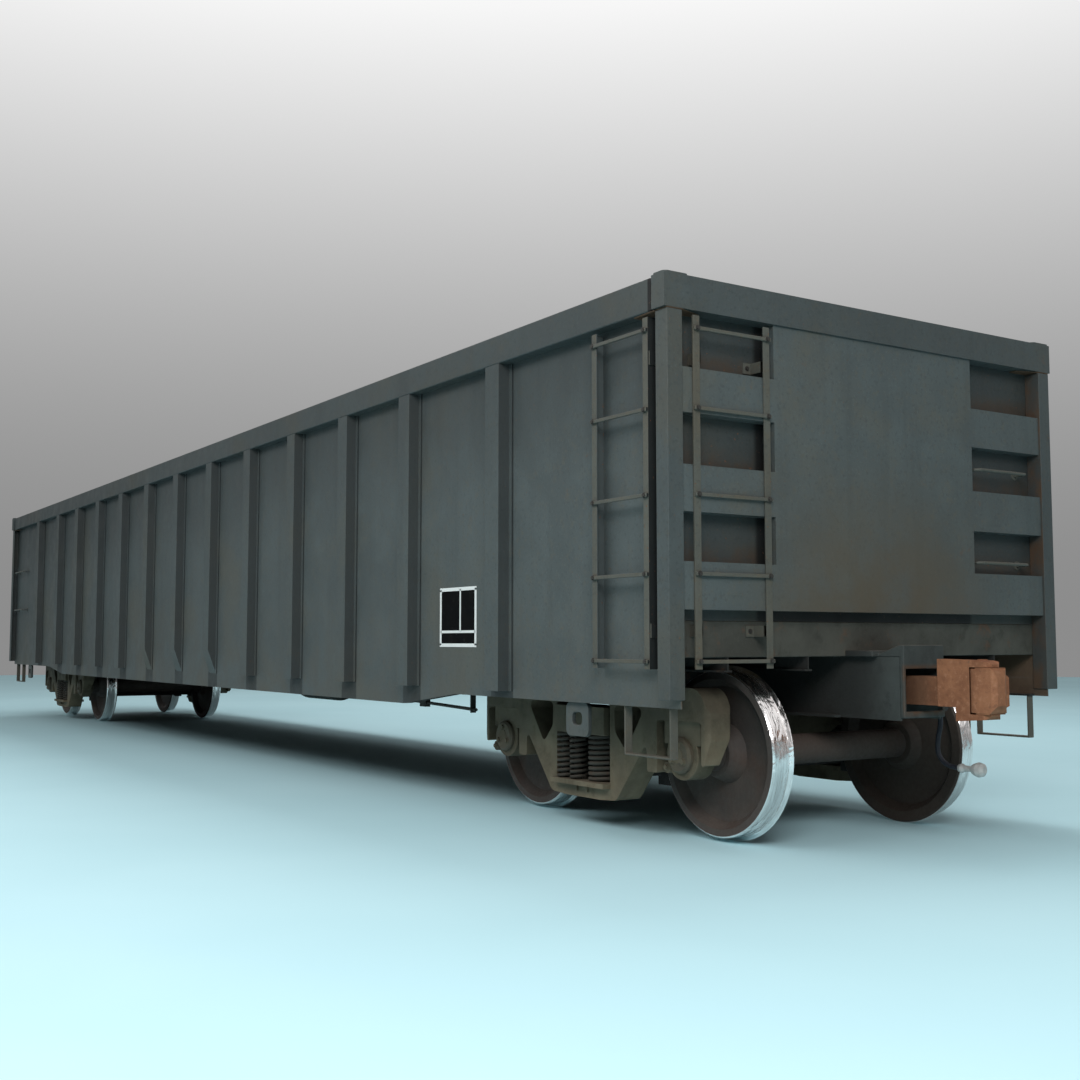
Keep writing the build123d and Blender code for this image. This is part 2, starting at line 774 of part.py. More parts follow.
# Wheelsets: an axle with its two wheels and the cap on each end of it
hub_radius = 128
rim_depth = 48                # radial thickness of the rim under the tread
wheel_back = back_to_back / 2
wheel_front = wheel_back + wheel_width
wheel_middle = (wheel_back + wheel_front) / 2
bearing_back = frame_middle - bearing_length / 2
axle_end = frame_middle + bearing_length / 2
hub_stand = 12                # how far the hub stands out of the wheel's front
hub_back = wheel_back - 2 * hub_stand
hub_front = wheel_front + hub_stand
plate_half = 16               # half the wheel plate's thickness
plate_dish = 26               # how far the plate leans back from the rim to the hub
plate_fillet = 42             # radial room of the fillets from the plate to the rim and to the hub
flange_half = 15              # half the flange's thickness
tread_taper = 4               # fall of the tread's radius across its width
rim_chamfer = 9
rim_bore = tread_radius - rim_depth
dust_guard_radius = journal_radius + 14
axle_cap_reach = 34
axle_cap_radius = 100
axle_cap_chamfer = 14
running_side_gap = 1
half_section = [              # across the car from the middle of the axle, and radius
    (0, 0),
    (0, axle_radius),
    (hub_back, axle_radius),
    (hub_back, hub_radius),
    (wheel_middle - plate_half - plate_dish, hub_radius + plate_fillet),
    (wheel_middle - plate_half, rim_bore - plate_fillet),
    (wheel_back, rim_bore),
    (wheel_back, axle_level - flange_half),
    (wheel_back + flange_half, axle_level),
    (wheel_back + 2 * flange_half, tread_radius + tread_taper),
    (wheel_front - rim_chamfer, tread_radius),
    (wheel_front, tread_radius - rim_chamfer),
    (wheel_front, rim_bore),
    (wheel_middle + plate_half, rim_bore - plate_fillet),
    (wheel_middle + plate_half - plate_dish, hub_radius + plate_fillet),
    (hub_front, hub_radius),
    (hub_front, dust_guard_radius),
    (bearing_back - running_side_gap, dust_guard_radius),
    (bearing_back - running_side_gap, journal_radius),
    (axle_end + running_side_gap, journal_radius),
    (axle_end + running_side_gap, axle_cap_radius),
    (axle_end + axle_cap_reach - axle_cap_chamfer, axle_cap_radius),
    (axle_end + axle_cap_reach, axle_cap_radius - axle_cap_chamfer),
    (axle_end + axle_cap_reach, 0),
]
trucks = (("a", truck_x), ("b", -truck_x))
axle_place = wheel_base / 2    # from the truck's middle
axles = [(f"{tag}{n}", x + way * axle_place) for tag, x in trucks for n, way in ((1, 1), (2, -1))]
for tag, x in axles:
    across = Axis((x, 0, axle_level), (0, 1, 0))
    with BuildPart() as wheelset:
        with BuildSketch(section_at(x)):
            with BuildLine():
                Polyline(*[(y, axle_level + r) for y, r in half_section], close=True)
            make_face()
        revolve(axis=across)
        mirror(about=Plane.XZ)
    save(wheelset, f"wheelset_{tag}")

# Trucks: two cast side frames, a bolster, springs, roller bearings and brake beams
jaw_roof = 690
jaw_half = 195                         # half the opening over each bearing
jaw_out = axle_place + jaw_half
jaw_in = axle_place - jaw_half
frame_nose = 257                       # how far a side frame reaches past the axle
frame_nose_round = 42                  # its corners, seen from above
frame_end = axle_place + frame_nose
leg_taper_top = 675                    # the outer legs grow thinner from here down, on the inside
leg_taper = 75
leg_foot = 455
frame_half = [                # half a side frame: along the car from its middle, height, corner radius
    (600, 880, 300),
    (frame_end - 80, 876, 110),
    (frame_end, 735, 90),
    (frame_end - 4, 590, 40),
    (frame_end - 36, leg_foot, 12),
    (jaw_out, leg_foot, 12),
    (jaw_out, jaw_roof, 20),
    (jaw_in, jaw_roof, 20),
    (jaw_in, 388, 15),
    (jaw_in - 92, 388, 15),
    (jaw_in - 98, 520, 12),
    (jaw_in - 126, 520, 12),
    (345, 190, 70),
    (180, 180, 0),
]
spring_window = (285, 285, 758, 12)    # half width, lower and upper edge, corner radius
corner_window = [(330, 752, 35), (jaw_in - 112, 752, 35), (440, 490, 30), (335, 600, 60)]
spring_seat = (285, 255, 285)          # half length, lower and upper face
spring_seat_width = 290                # across the car
bottom_ribs = (-55, 55)
bottom_rib = (12, 40, 14)              # along the car, height, how far it stands out
bolster_depth = 262                    # half the bolster's end, along the car
bolster_end_low = 568
bolster_end_high = 740
bolster_end = frame_outside + 30
bolster_pocket = (222, 118, 90)        # an opening in the bolster's end: width, height, depth
bolster_pocket_web = 26
bolster_middle_low = 430
bolster_top_half = 420
bowl_floor = centre_plate_level - 12
bowl_radius = centre_plate_radius + 40
bolster_low_end = 620
bolster_spring_room = 60
side_bearing = (635, 110, 300)         # place, width across and length along the car
side_bearing_gap = 8
spring_rows = [                        # along the car, across from the frame's middle, radius
    (-206, 68, 64),
    (-206, -68, 64),
    (-72, 68, 60),
    (-72, -68, 60),
    (118, 0, 110),
]
brake_beam_room = 10                   # under the bolster
brake_beam_depth = 60
brake_beam_height = 90
brake_beam_gap = 72                    # from the middle of the beam to the wheel
brake_beam_place = axle_place - tread_radius - brake_beam_gap
brake_beam_level = bolster_middle_low - brake_beam_room - brake_beam_height / 2
brake_shoe_middle = 770
brake_shoe_width = 85
brake_shoe_reach = 130
brake_shoe_height = 220
brake_shoe_level = 385
brake_shoe_gap = 10
adapter_half = 160
adapter_lip = 60                       # the adapter's feet end this far above the axle
for tag, x in trucks:
    with BuildPart() as side_frames:
        for side in (-1, 1):
            with BuildSketch(elevation_at(side * frame_middle, x)):
                corners = [r for u, z, r in frame_half]
                with BuildLine():
                    FilletPolyline(
                        *both_ways([(u, z) for u, z, r in frame_half]),
                        radius=[*corners, *reversed(corners)],
                        close=True,
                    )
                make_face()
                half, low, high, corner = spring_window
                with Locations((0, (low + high) / 2)):
                    RectangleRounded(2 * half, high - low, corner, mode=Mode.SUBTRACT)
                for way in (-1, 1):
                    with BuildLine():
                        FilletPolyline(
                            *[(way * u, z) for u, z, r in corner_window],
                            radius=[r for u, z, r in corner_window],
                            close=True,
                        )
                    make_face(mode=Mode.SUBTRACT)
            extrude(amount=frame_width / 2, both=True)
        with BuildSketch(Plane.XY):
            with Locations((x, frame_middle), (x, -frame_middle)):
                RectangleRounded(2 * frame_end, frame_width, frame_nose_round)
        extrude(amount=chord_bottom, mode=Mode.INTERSECT)
        for way in (-1, 1):
            with BuildSketch(section_at(x + way * jaw_out)):
                for side in (-1, 1):
                    with BuildLine():
                        Polyline(
                            (side * frame_inside, leg_taper_top),
                            (side * frame_inside, leg_foot),
                            (side * (frame_inside + leg_taper), leg_foot),
                            close=True,
                        )
                    make_face()
            extrude(amount=way * frame_nose, mode=Mode.SUBTRACT)
        for side in (-1, 1):
            with BuildSketch(elevation_at(side * frame_middle, x)):
                with Locations((0, (spring_seat[1] + spring_seat[2]) / 2)):
                    Rectangle(2 * spring_seat[0], spring_seat[2] - spring_seat[1])
            extrude(amount=spring_seat_width / 2, both=True)
            with BuildSketch(elevation_at(side * (frame_outside + bottom_rib[2] / 2), x)):
                for u in bottom_ribs:
                    with Locations((u, spring_seat[1] - bottom_rib[1] / 2)):
                        Rectangle(bottom_rib[0], bottom_rib[1])
            extrude(amount=bottom_rib[2] / 2, both=True)
    save(side_frames, f"side_frames_{tag}")

    with BuildPart() as bearings:
        for offset in (-axle_place, axle_place):
            for side in (-1, 1):
                with BuildSketch(elevation_at(side * frame_middle, x + offset)):
                    with Locations((0, (axle_level + jaw_roof) / 2)):
                        Rectangle(2 * adapter_half, jaw_roof - axle_level)
                    with Locations((0, axle_level)):
                        Rectangle(2 * adapter_half, 2 * adapter_lip, mode=Mode.SUBTRACT)
                        Circle(bearing_radius)
                        Circle(journal_radius + running_gap, mode=Mode.SUBTRACT)
                extrude(amount=bearing_length / 2, both=True)
    save(bearings, f"bearings_{tag}")

    with BuildPart() as bolster:
        with BuildSketch(section_at(x)):
            with BuildLine():
                Polyline(
                    *both_ways([
                        (bolster_top_half, bowl_floor),
                        (frame_inside, bolster_end_high),
                        (bolster_end, bolster_end_high),
                        (bolster_end, bolster_end_low),
                        (frame_inside - bolster_spring_room, bolster_end_low),
                        (bolster_low_end, bolster_middle_low),
                    ]),
                    close=True,
                )
            make_face()
        extrude(amount=bolster_depth, both=True)
        for side in (-1, 1):
            with BuildSketch(Plane((x, side * bolster_end, 0), x_dir=(1, 0, 0), z_dir=(0, -side, 0))):
                for way in (-1, 1):
                    pocket_x = way * (bolster_pocket[0] + bolster_pocket_web) / 2
                    with Locations((pocket_x, -side * (bolster_end_low + bolster_end_high) / 2)):
                        Rectangle(bolster_pocket[0], bolster_pocket[1])
            extrude(amount=bolster_pocket[2], mode=Mode.SUBTRACT)
            place, width, length = side_bearing
            with BuildSketch(Plane.XY.offset(bowl_floor)):
                with Locations((x, side * place)):
                    Rectangle(length, width)
            extrude(amount=bolster_low - side_bearing_gap - bowl_floor)
        with BuildSketch(Plane.XY.offset(bowl_floor)):
            with Locations((x, 0)):
                Circle(bowl_radius)
        extrude(amount=centre_plate_level - running_gap - bowl_floor)
    save(bolster, f"truck_bolster_{tag}")

    with BuildPart() as springs:
        for side in (-1, 1):
            with BuildSketch(Plane.XY.offset(spring_seat[2])):
                for u, v, radius in spring_rows:
                    with Locations((x + u, side * (frame_middle + v))):
                        Circle(radius)
            extrude(amount=bolster_end_low - spring_seat[2])
    save(springs, f"truck_springs_{tag}")

    with BuildPart() as brake_beams:
        for way in (-1, 1):
            with BuildSketch(elevation_at(0, x)):
                with Locations((way * brake_beam_place, brake_beam_level)):
                    Rectangle(brake_beam_depth, brake_beam_height)
            extrude(amount=frame_inside, both=True)
            for side in (-1, 1):
                with BuildSketch(elevation_at(side * brake_shoe_middle, x)):
                    with Locations((way * (brake_beam_place + brake_shoe_reach / 2), brake_shoe_level)):
                        Rectangle(brake_shoe_reach, brake_shoe_height)
                    with Locations((way * axle_place, axle_level)):
                        Circle(tread_radius + brake_shoe_gap, mode=Mode.SUBTRACT)
                extrude(amount=brake_shoe_width / 2, both=True)
    save(brake_beams, f"brake_beams_{tag}")

# Draft pins: upright pins in the centre sill that the couplers swing on
draft_pin_radius = 45
with BuildPart() as draft_pins:
    with BuildSketch(Plane.XY.offset(beam_bottom - sill_web)):
        for end in (-1, 1):
            with Locations((end * coupler_pivot, 0)):
                Circle(draft_pin_radius)
    extrude(amount=centre_sill_bottom + sill_web - beam_bottom)
save(draft_pins, "draft_pins")

# Couplers: a shank and a head with a guard arm, and a knuckle that turns on an upright pin
shank_tail = 75               # the shank behind its pin
shank_back = coupler_pivot - shank_tail
head_offset = 160             # from the striker's face to the back of the head
head_back = striker_face + head_offset
shank_low = 788
coupler_reach = 300           # half the block that the head is cut from
knuckle_half = 115
knuckle_pin = (head_back + 270, -50)
knuckle_pin_radius = 21
knuckle_hub = 65
knuckle_room = 8              # clearance round the knuckle in the head
head_outline = [              # seen from above: from the head's back, and across, round to the guard arm
    (0, -80),
    (25, -115),
    (300, -115),
    (355, -85),
    (355, -25),
    (300, 45),
    (238, 95),
    (258, 180),
    (228, 212),
    (150, 190),
    (0, 80),
]
knuckle_outline = [
    (270, -115),
    (370, -113),
    (394, -92),
    (394, -28),
    (362, 18),
    (332, 34),
    (310, 10),
    (305, -20),
]
head_profile = [              # seen from the side: from the head's back, and height
    (0, 1041),
    (300, 1036),
    (366, 1014),
    (394, 945),
    (394, 802),
    (355, 752),
    (325, 728),
    (143, 714),
    (143, 788),
    (0, 788),
]
head_front = [                # seen from the front: across, and height, sloping to the guard arm
    (-130, 1045),
    (-5, 1041),
    (65, 1005),
    (160, 958),
    (212, 920),
    (212, 805),
    (100, 755),
    (25, 720),
    (5, 700),
    (-130, 700),
]
for tag, end in (("a", 1), ("b", -1)):
    pin = (end * knuckle_pin[0], end * knuckle_pin[1])
    ahead = Align.MIN if end > 0 else Align.MAX
    with BuildPart() as coupler:
        with BuildSketch(Plane.XY.offset(coupler_level - coupler_reach)):
            with BuildLine():
                Polyline(*[(end * (head_back + u), end * v) for u, v in head_outline], close=True)
            make_face()
        extrude(amount=2 * coupler_reach)
        with BuildSketch(elevation_at(0)):
            with BuildLine():
                Polyline(*[(end * (head_back + u), z) for u, z in head_profile], close=True)
            make_face()
        extrude(amount=coupler_reach * 2, both=True, mode=Mode.INTERSECT)
        with BuildSketch(section_at(end * head_back)):
            with BuildLine():
                Polyline(*[(end * v, z) for v, z in head_front], close=True)
            make_face()
        extrude(amount=end * coupler_reach * 2, mode=Mode.INTERSECT)
        with BuildSketch(Plane.XY.offset(coupler_level - knuckle_half - knuckle_room)):
            with Locations(pin):
                Circle(knuckle_hub + knuckle_room)
                Rectangle(4 * knuckle_hub, 3 * knuckle_hub, align=(ahead, Align.CENTER))
        extrude(amount=2 * (knuckle_half + knuckle_room), mode=Mode.SUBTRACT)
        with BuildSketch(Plane.XY.offset(coupler_level - knuckle_half - knuckle_room)):
            with Locations(pin):
                Circle(knuckle_pin_radius)
        extrude(amount=2 * (knuckle_half + knuckle_room))
        with BuildSketch(Plane.XY.offset(shank_low)):
            with Locations((end * (shank_back + head_back) / 2, 0)):
                Rectangle(head_back - shank_back, shank_width)
            with Locations((end * coupler_pivot, 0)):
                Circle(draft_pin_radius + running_gap, mode=Mode.SUBTRACT)
        extrude(amount=shank_height)
    save(coupler, f"coupler_{tag}")
    with BuildPart() as knuckle:
        with BuildSketch(Plane.XY.offset(coupler_level - knuckle_half)):
            with BuildLine():
                Polyline(*[(end * (head_back + u), end * v) for u, v in knuckle_outline], close=True)
            make_face()
            with Locations(pin):
                Circle(knuckle_hub)
                Circle(knuckle_pin_radius + running_gap, mode=Mode.SUBTRACT)
        extrude(amount=2 * knuckle_half)
        with BuildSketch(elevation_at(0)):
            with BuildLine():
                Polyline(*[(end * (head_back + u), z) for u, z in head_profile], close=True)
            make_face()
        extrude(amount=coupler_reach, both=True, mode=Mode.INTERSECT)
    save(knuckle, f"knuckle_{tag}")

# Angle cocks beside the strikers: a pipe end on a bracket, turned down to the hose
cock_offset = 132             # past the end of the body
cock_x = end_face + cock_offset
cock_y = 300
cock_level = 770
cock_radius = 34
cock_back = 190
cock_nut_radius = 26
cock_nut_bottom = 722
cock_bracket = 60
with BuildPart() as angle_cocks:
    for end in (-1, 1):
        with BuildSketch(section_at(end * (cock_x + cock_radius))):
            with Locations((end * cock_y, cock_level)):
                Circle(cock_radius)
        extrude(amount=-end * cock_back)
        with BuildSketch(Plane.XY.offset(cock_level)):
            with Locations((end * cock_x, end * cock_y)):
                RegularPolygon(cock_nut_radius, 6)
        extrude(amount=cock_nut_bottom - cock_level)
        with BuildSketch(section_at(end * (cock_x + cock_radius - cock_back))):
            with Locations((end * (centre_sill_half + cock_y) / 2, cock_level)):
                Rectangle(cock_y - centre_sill_half, hanger)
        extrude(amount=end * cock_bracket)
save(angle_cocks, "angle_cocks")

# Air hose of the "a" end, hanging from its angle cock, with its coupling
hose_radius = 14
hose_seat = 0.8
hose_points = [
    (cock_x, cock_y, cock_nut_bottom - hose_seat),
    (cock_x + 3, cock_y, 660),
    (cock_x - 22, cock_y, 580),
    (cock_x - 26, cock_y, 486),
    (cock_x + 44, cock_y, 422),
    (cock_x + 128, cock_y, 422),
]


def corner_radii(points, share=0.45):
    """The largest tangent arcs that a route's runs allow, one for each inner point."""
    route = [Vector(*p) for p in points]
    radii = []
    for before, here, after in zip(route, route[1:], route[2:]):
        turn = (here - before).get_angle(after - here)
        shorter = min((here - before).length, (after - here).length)
        radii.append(share * shorter / (sin(radians(turn / 2)) / cos(radians(turn / 2))))
    return radii


hose_radii = corner_radii(hose_points)
with BuildPart() as air_hose:
    with BuildLine() as hose_line:
        FilletPolyline(*hose_points, radius=hose_radii)
    with BuildSketch(hose_line.line ^ 0):
        Circle(hose_radius)
    sweep(path=hose_line.line)
save(air_hose, "air_hose")

coupling_section = [          # along the car from the hose's end, and radius
    (0, 22),
    (18, 27),
    (38, 18),
    (78, 16),
    (102, 32),
    (132, 42),
    (158, 36),
    (172, 18),
]
with BuildPart() as glad_hand:
    with BuildSketch(elevation_at(cock_y, hose_points[-1][0])):
        with BuildLine():
            Polyline(
                (0, hose_points[-1][2]),
                *[(u, hose_points[-1][2] + r) for u, r in coupling_section],
                (coupling_section[-1][0], hose_points[-1][2]),
                close=True,
            )
        make_face()
    revolve(axis=Axis(hose_points[-1], (1, 0, 0)))
save(glad_hand, "glad_hand")
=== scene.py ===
from math import cos, pi, radians, sin, tan

import bmesh
import bpy
from mathutils import Matrix, Vector


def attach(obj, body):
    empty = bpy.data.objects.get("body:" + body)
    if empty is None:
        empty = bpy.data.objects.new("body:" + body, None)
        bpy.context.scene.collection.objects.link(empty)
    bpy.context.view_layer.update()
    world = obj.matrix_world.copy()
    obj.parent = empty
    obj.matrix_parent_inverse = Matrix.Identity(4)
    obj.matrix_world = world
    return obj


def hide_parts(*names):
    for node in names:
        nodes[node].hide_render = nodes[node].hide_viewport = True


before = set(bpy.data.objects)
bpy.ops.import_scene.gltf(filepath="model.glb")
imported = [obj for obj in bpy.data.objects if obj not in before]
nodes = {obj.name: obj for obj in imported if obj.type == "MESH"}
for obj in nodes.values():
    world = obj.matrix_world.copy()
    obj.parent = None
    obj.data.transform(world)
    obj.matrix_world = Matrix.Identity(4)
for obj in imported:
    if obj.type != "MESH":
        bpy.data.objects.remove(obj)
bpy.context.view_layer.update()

# Looks of the gondola car. Metres, in the frame of the CAD: X along the car, +X is the end in the
# photograph, -Y is the side in the photograph, Z is up.
scene = bpy.context.scene
scene.view_settings.view_transform = "Standard"

# Places taken over from the part
TRUCKS = {"a": 6.725, "b": -6.725}
AXLES = {"a1": 7.66, "a2": 5.79, "b1": -5.79, "b2": -7.66}
AXLE_LEVEL = 0.498
AXLE_CAP_FACE = 1.1025
BEARING_FACE = 1.0685
FRAME_MIDDLE = 1.0035         # middle of a side frame, from the car's middle
SIDE_SHEET, SIDE_SHEET_INSIDE = 1.497, 1.492
END_SHEET, END_SHEET_INSIDE = 8.085, 8.08
POST_PITCH, END_POST = 1.042, 6.425
POST_FLANGE_EDGE = 0.121      # from a post's middle
RIB_TOPS = (1.55, 2.057, 2.57)
END_PANEL_EDGE = 0.82
CHORD_END = 8.05
OPENING_LEVEL = 0.867         # middle of the striker's opening
LADDER_BACK = 8.179           # inner face of the end ladders' stiles
HEAD_BACK = 8.63              # where the coupler's head meets its shank
KNUCKLE_TOP, KNUCKLE_FOOT = 0.992, 0.762
SIDES = (-1, 1)
CORNERS = (1, -1)             # two opposite corners of the car
UP = (0, 0, 1)


def placed(name, data):
    """A new object in the scene."""
    made = bpy.data.objects.new(name, data)
    scene.collection.objects.link(made)
    return made


def aim(thing, direction):
    """Turns a camera or a lamp to look along a direction."""
    thing.rotation_euler = direction.to_track_quat("-Z", "Y").to_euler()


# Camera
CAMERA_PLACE = (13.4043, -5.7486, 1.1334)
CAMERA_YAW = radians(33.0104)
CAMERA_PITCH = radians(4.4636)
CAMERA_VIEW = radians(45)
SENSOR = 36                   # millimetres
camera_data = bpy.data.cameras.new("camera")
camera_data.sensor_width = SENSOR
camera_data.lens = SENSOR / 2 / tan(CAMERA_VIEW / 2)
camera = placed("camera", camera_data)
scene.camera = camera
camera.location = CAMERA_PLACE
aim(camera, Vector((
    -cos(CAMERA_YAW) * cos(CAMERA_PITCH),
    sin(CAMERA_YAW) * cos(CAMERA_PITCH),
    sin(CAMERA_PITCH),
)))


class Graph:
    """The nodes of one material or of the world."""

    def __init__(self, tree):
        self.tree = tree

    def node(self, kind, options=None, **values):
        made = self.tree.nodes.new(kind)
        for key, value in (options or {}).items():
            setattr(made, key, value)
        for key, value in values.items():
            self.feed(made.inputs[key], value)
        return made

    def feed(self, socket, value):
        if isinstance(value, bpy.types.NodeSocket):
            self.tree.links.new(value, socket)
        else:
            socket.default_value = value

    def maths(self, operation, a, b=0.0):
        made = self.node("ShaderNodeMath", {"operation": operation})
        self.feed(made.inputs[0], a)
        self.feed(made.inputs[1], b)
        return made.outputs["Value"]

    def both(self, a, b):
        return self.maths("MULTIPLY", a, b)

    def absolute(self, value):
        return self.maths("ABSOLUTE", value)


class Surface(Graph):
    """A procedural material in the piece's own coordinates, in metres."""

    def __init__(self, name, metallic=0.0, specular=0.4):
        self.material = bpy.data.materials.new(name)
        self.material.use_nodes = True
        super().__init__(self.material.node_tree)
        self.shader = self.tree.nodes["Principled BSDF"]
        self.shader.inputs["Metallic"].default_value = metallic
        self.shader.inputs["Specular IOR Level"].default_value = specular
        self.place = self.node("ShaderNodeTexCoord").outputs["Object"]
        split = self.node("ShaderNodeSeparateXYZ", Vector=self.place)
        self.x, self.y, self.z = split.outputs
        self.normal = self.node("ShaderNodeNewGeometry").outputs["Normal"]
        self.relief = None

    def stretched(self, x, y, z):
        """The coordinates with each axis scaled, for streaks and scratches."""
        made = self.node("ShaderNodeVectorMath", {"operation": "MULTIPLY"})
        self.feed(made.inputs[0], self.place)
        self.feed(made.inputs[1], (x, y, z))
        return made.outputs["Vector"]

    def noise(self, scale, detail=5.0, rough=0.55, place=None, warp=0.0):
        made = self.node("ShaderNodeTexNoise", Vector=place or self.place, Scale=scale, Detail=detail,
                         Roughness=rough, Distortion=warp)
        return made.outputs["Fac"]

    def spread(self, value, low, high, to_low=0.0, to_high=1.0):
        """Maps a value from low..high onto to_low..to_high, eased and held at the ends."""
        made = self.node("ShaderNodeMapRange", {"interpolation_type": "SMOOTHSTEP"})
        for socket, entry in zip(made.inputs, (value, low, high, to_low, to_high)):
            self.feed(socket, entry)
        return made.outputs["Result"]

    def blend(self, share, a, b):
        """Number b in place of number a by the share."""
        made = self.node("ShaderNodeMix", {"data_type": "FLOAT"})
        for socket, value in zip((made.inputs[0], made.inputs[2], made.inputs[3]), (share, a, b)):
            self.feed(socket, value)
        return made.outputs[0]

    def mix(self, share, a, b):
        """Colour b over colour a by the share."""
        made = self.node("ShaderNodeMix", {"data_type": "RGBA"})
        self.feed(made.inputs["Factor"], share)
        for socket, value in zip([s for s in made.inputs if s.type == "RGBA"], (a, b)):
            self.feed(socket, value if isinstance(value, bpy.types.NodeSocket) else (*value, 1))
        return [s for s in made.outputs if s.type == "RGBA"][0]

    def raised(self, height, depth, strength=1.0):
        """Adds a relief of the given depth in metres."""
        made = self.node("ShaderNodeBump", Height=height, Distance=depth, Strength=strength)
        if self.relief:
            self.feed(made.inputs["Normal"], self.relief)
        self.relief = made.outputs["Normal"]

    def facing(self, axis):
        """How far the surface faces along an axis, -1 to 1."""
        made = self.node("ShaderNodeSeparateXYZ", Vector=self.normal)
        return made.outputs["XYZ".index(axis)]

    def done(self, colour, roughness):
        self.feed(self.shader.inputs["Base Color"], colour)
        self.feed(self.shader.inputs["Roughness"], roughness)
        if self.relief:
            self.feed(self.shader.inputs["Normal"], self.relief)
        return self.material


def shade(colour, factor):
    return tuple(c * factor for c in colour)


# Colours, in linear light
BODY_BLUE = (0.072, 0.0848, 0.085)
LADDER_GREY = (0.08, 0.08, 0.068)
TRUCK_OLIVE = (0.152, 0.126, 0.085)
SILL_GREY, END_SILL_BROWN = (0.05, 0.056, 0.053), (0.062, 0.06, 0.05)
SPRING_BROWN, SHOE_BROWN, PIPE_BROWN = (0.058, 0.052, 0.043), (0.03, 0.027, 0.025), (0.05, 0.047, 0.043)
FITTING_GREY, BOLT_BROWN = (0.52, 0.51, 0.49), (0.034, 0.03, 0.026)
PLATE_BLACK, PLATE_WHITE = (0.005, 0.005, 0.0055), (0.78, 0.78, 0.76)
# Dark grime; also the colour of the painted shade on the sills
GRIME_AND_SHADE = (0.022, 0.0215, 0.02)
BLACK = (0.005, 0.005, 0.005)
RUST = (0.13, 0.058, 0.028)
ROAD_DUST = (0.105, 0.09, 0.07)
DRY_MUD = (0.084, 0.067, 0.046)
WORN_DARK, WORN_PALE, WORN_SCRAPES = (0.075, 0.05, 0.034), (0.11, 0.075, 0.05), (0.125, 0.12, 0.112)
COUPLER_ORANGE, COUPLER_PALE = (0.185, 0.074, 0.038), (0.3, 0.13, 0.066)
COUPLER_POWDER, COUPLER_DEEP = (0.37, 0.185, 0.11), (0.115, 0.05, 0.029)
COUPLER_RUBBED, COUPLER_SHANK_SHADE = (0.09, 0.055, 0.04), (0.065, 0.034, 0.02)
WHEEL_DARK, WHEEL_PALE = (0.045, 0.037, 0.033), (0.073, 0.057, 0.048)
WHEEL_RUST, WHEEL_GRIT, WHEEL_RINGS = (0.072, 0.036, 0.024), (0.074, 0.054, 0.044), (0.09, 0.076, 0.068)
RIM_BROWN, AXLE_BROWN, WHEEL_BACK_SHADE = (0.07, 0.058, 0.052), (0.06, 0.041, 0.032), (0.037, 0.025, 0.018)
TREAD_DULL, TREAD_BRIGHT = (0.74, 0.71, 0.7), (0.97, 0.94, 0.93)
LOAD_RUST_DARK, LOAD_RUST = (0.06, 0.036, 0.024), (0.125, 0.072, 0.044)
LOAD_GREY, LOAD_SCRAPES, LOAD_DIRT = (0.085, 0.078, 0.07), (0.16, 0.152, 0.142), (0.085, 0.066, 0.047)
RECESS_RUST, GUSSET_RUST, OPENING_RUST = (0.055, 0.039, 0.027), (0.085, 0.05, 0.03), (0.09, 0.05, 0.03)
HOSE_NAVY, HOSE_DUST = (0.012, 0.014, 0.022), (0.045, 0.045, 0.05)
RUBBED_PAINT = (0.07, 0.074, 0.074)
STUDIO_BLUE, STUDIO_PALE = (0.51, 0.77, 0.835), (0.54, 0.8, 0.865)


# Zones of the dirt and of the painted shade on the body: from none to all of it
TOP_SHADE_LEVELS = (1.9, 2.8)
DUST_LEVELS = (1.75, 0.72)
END_DIRT_LEVELS, END_DIRT_ACROSS = (2.35, 1.3), (1.3, 0.25)


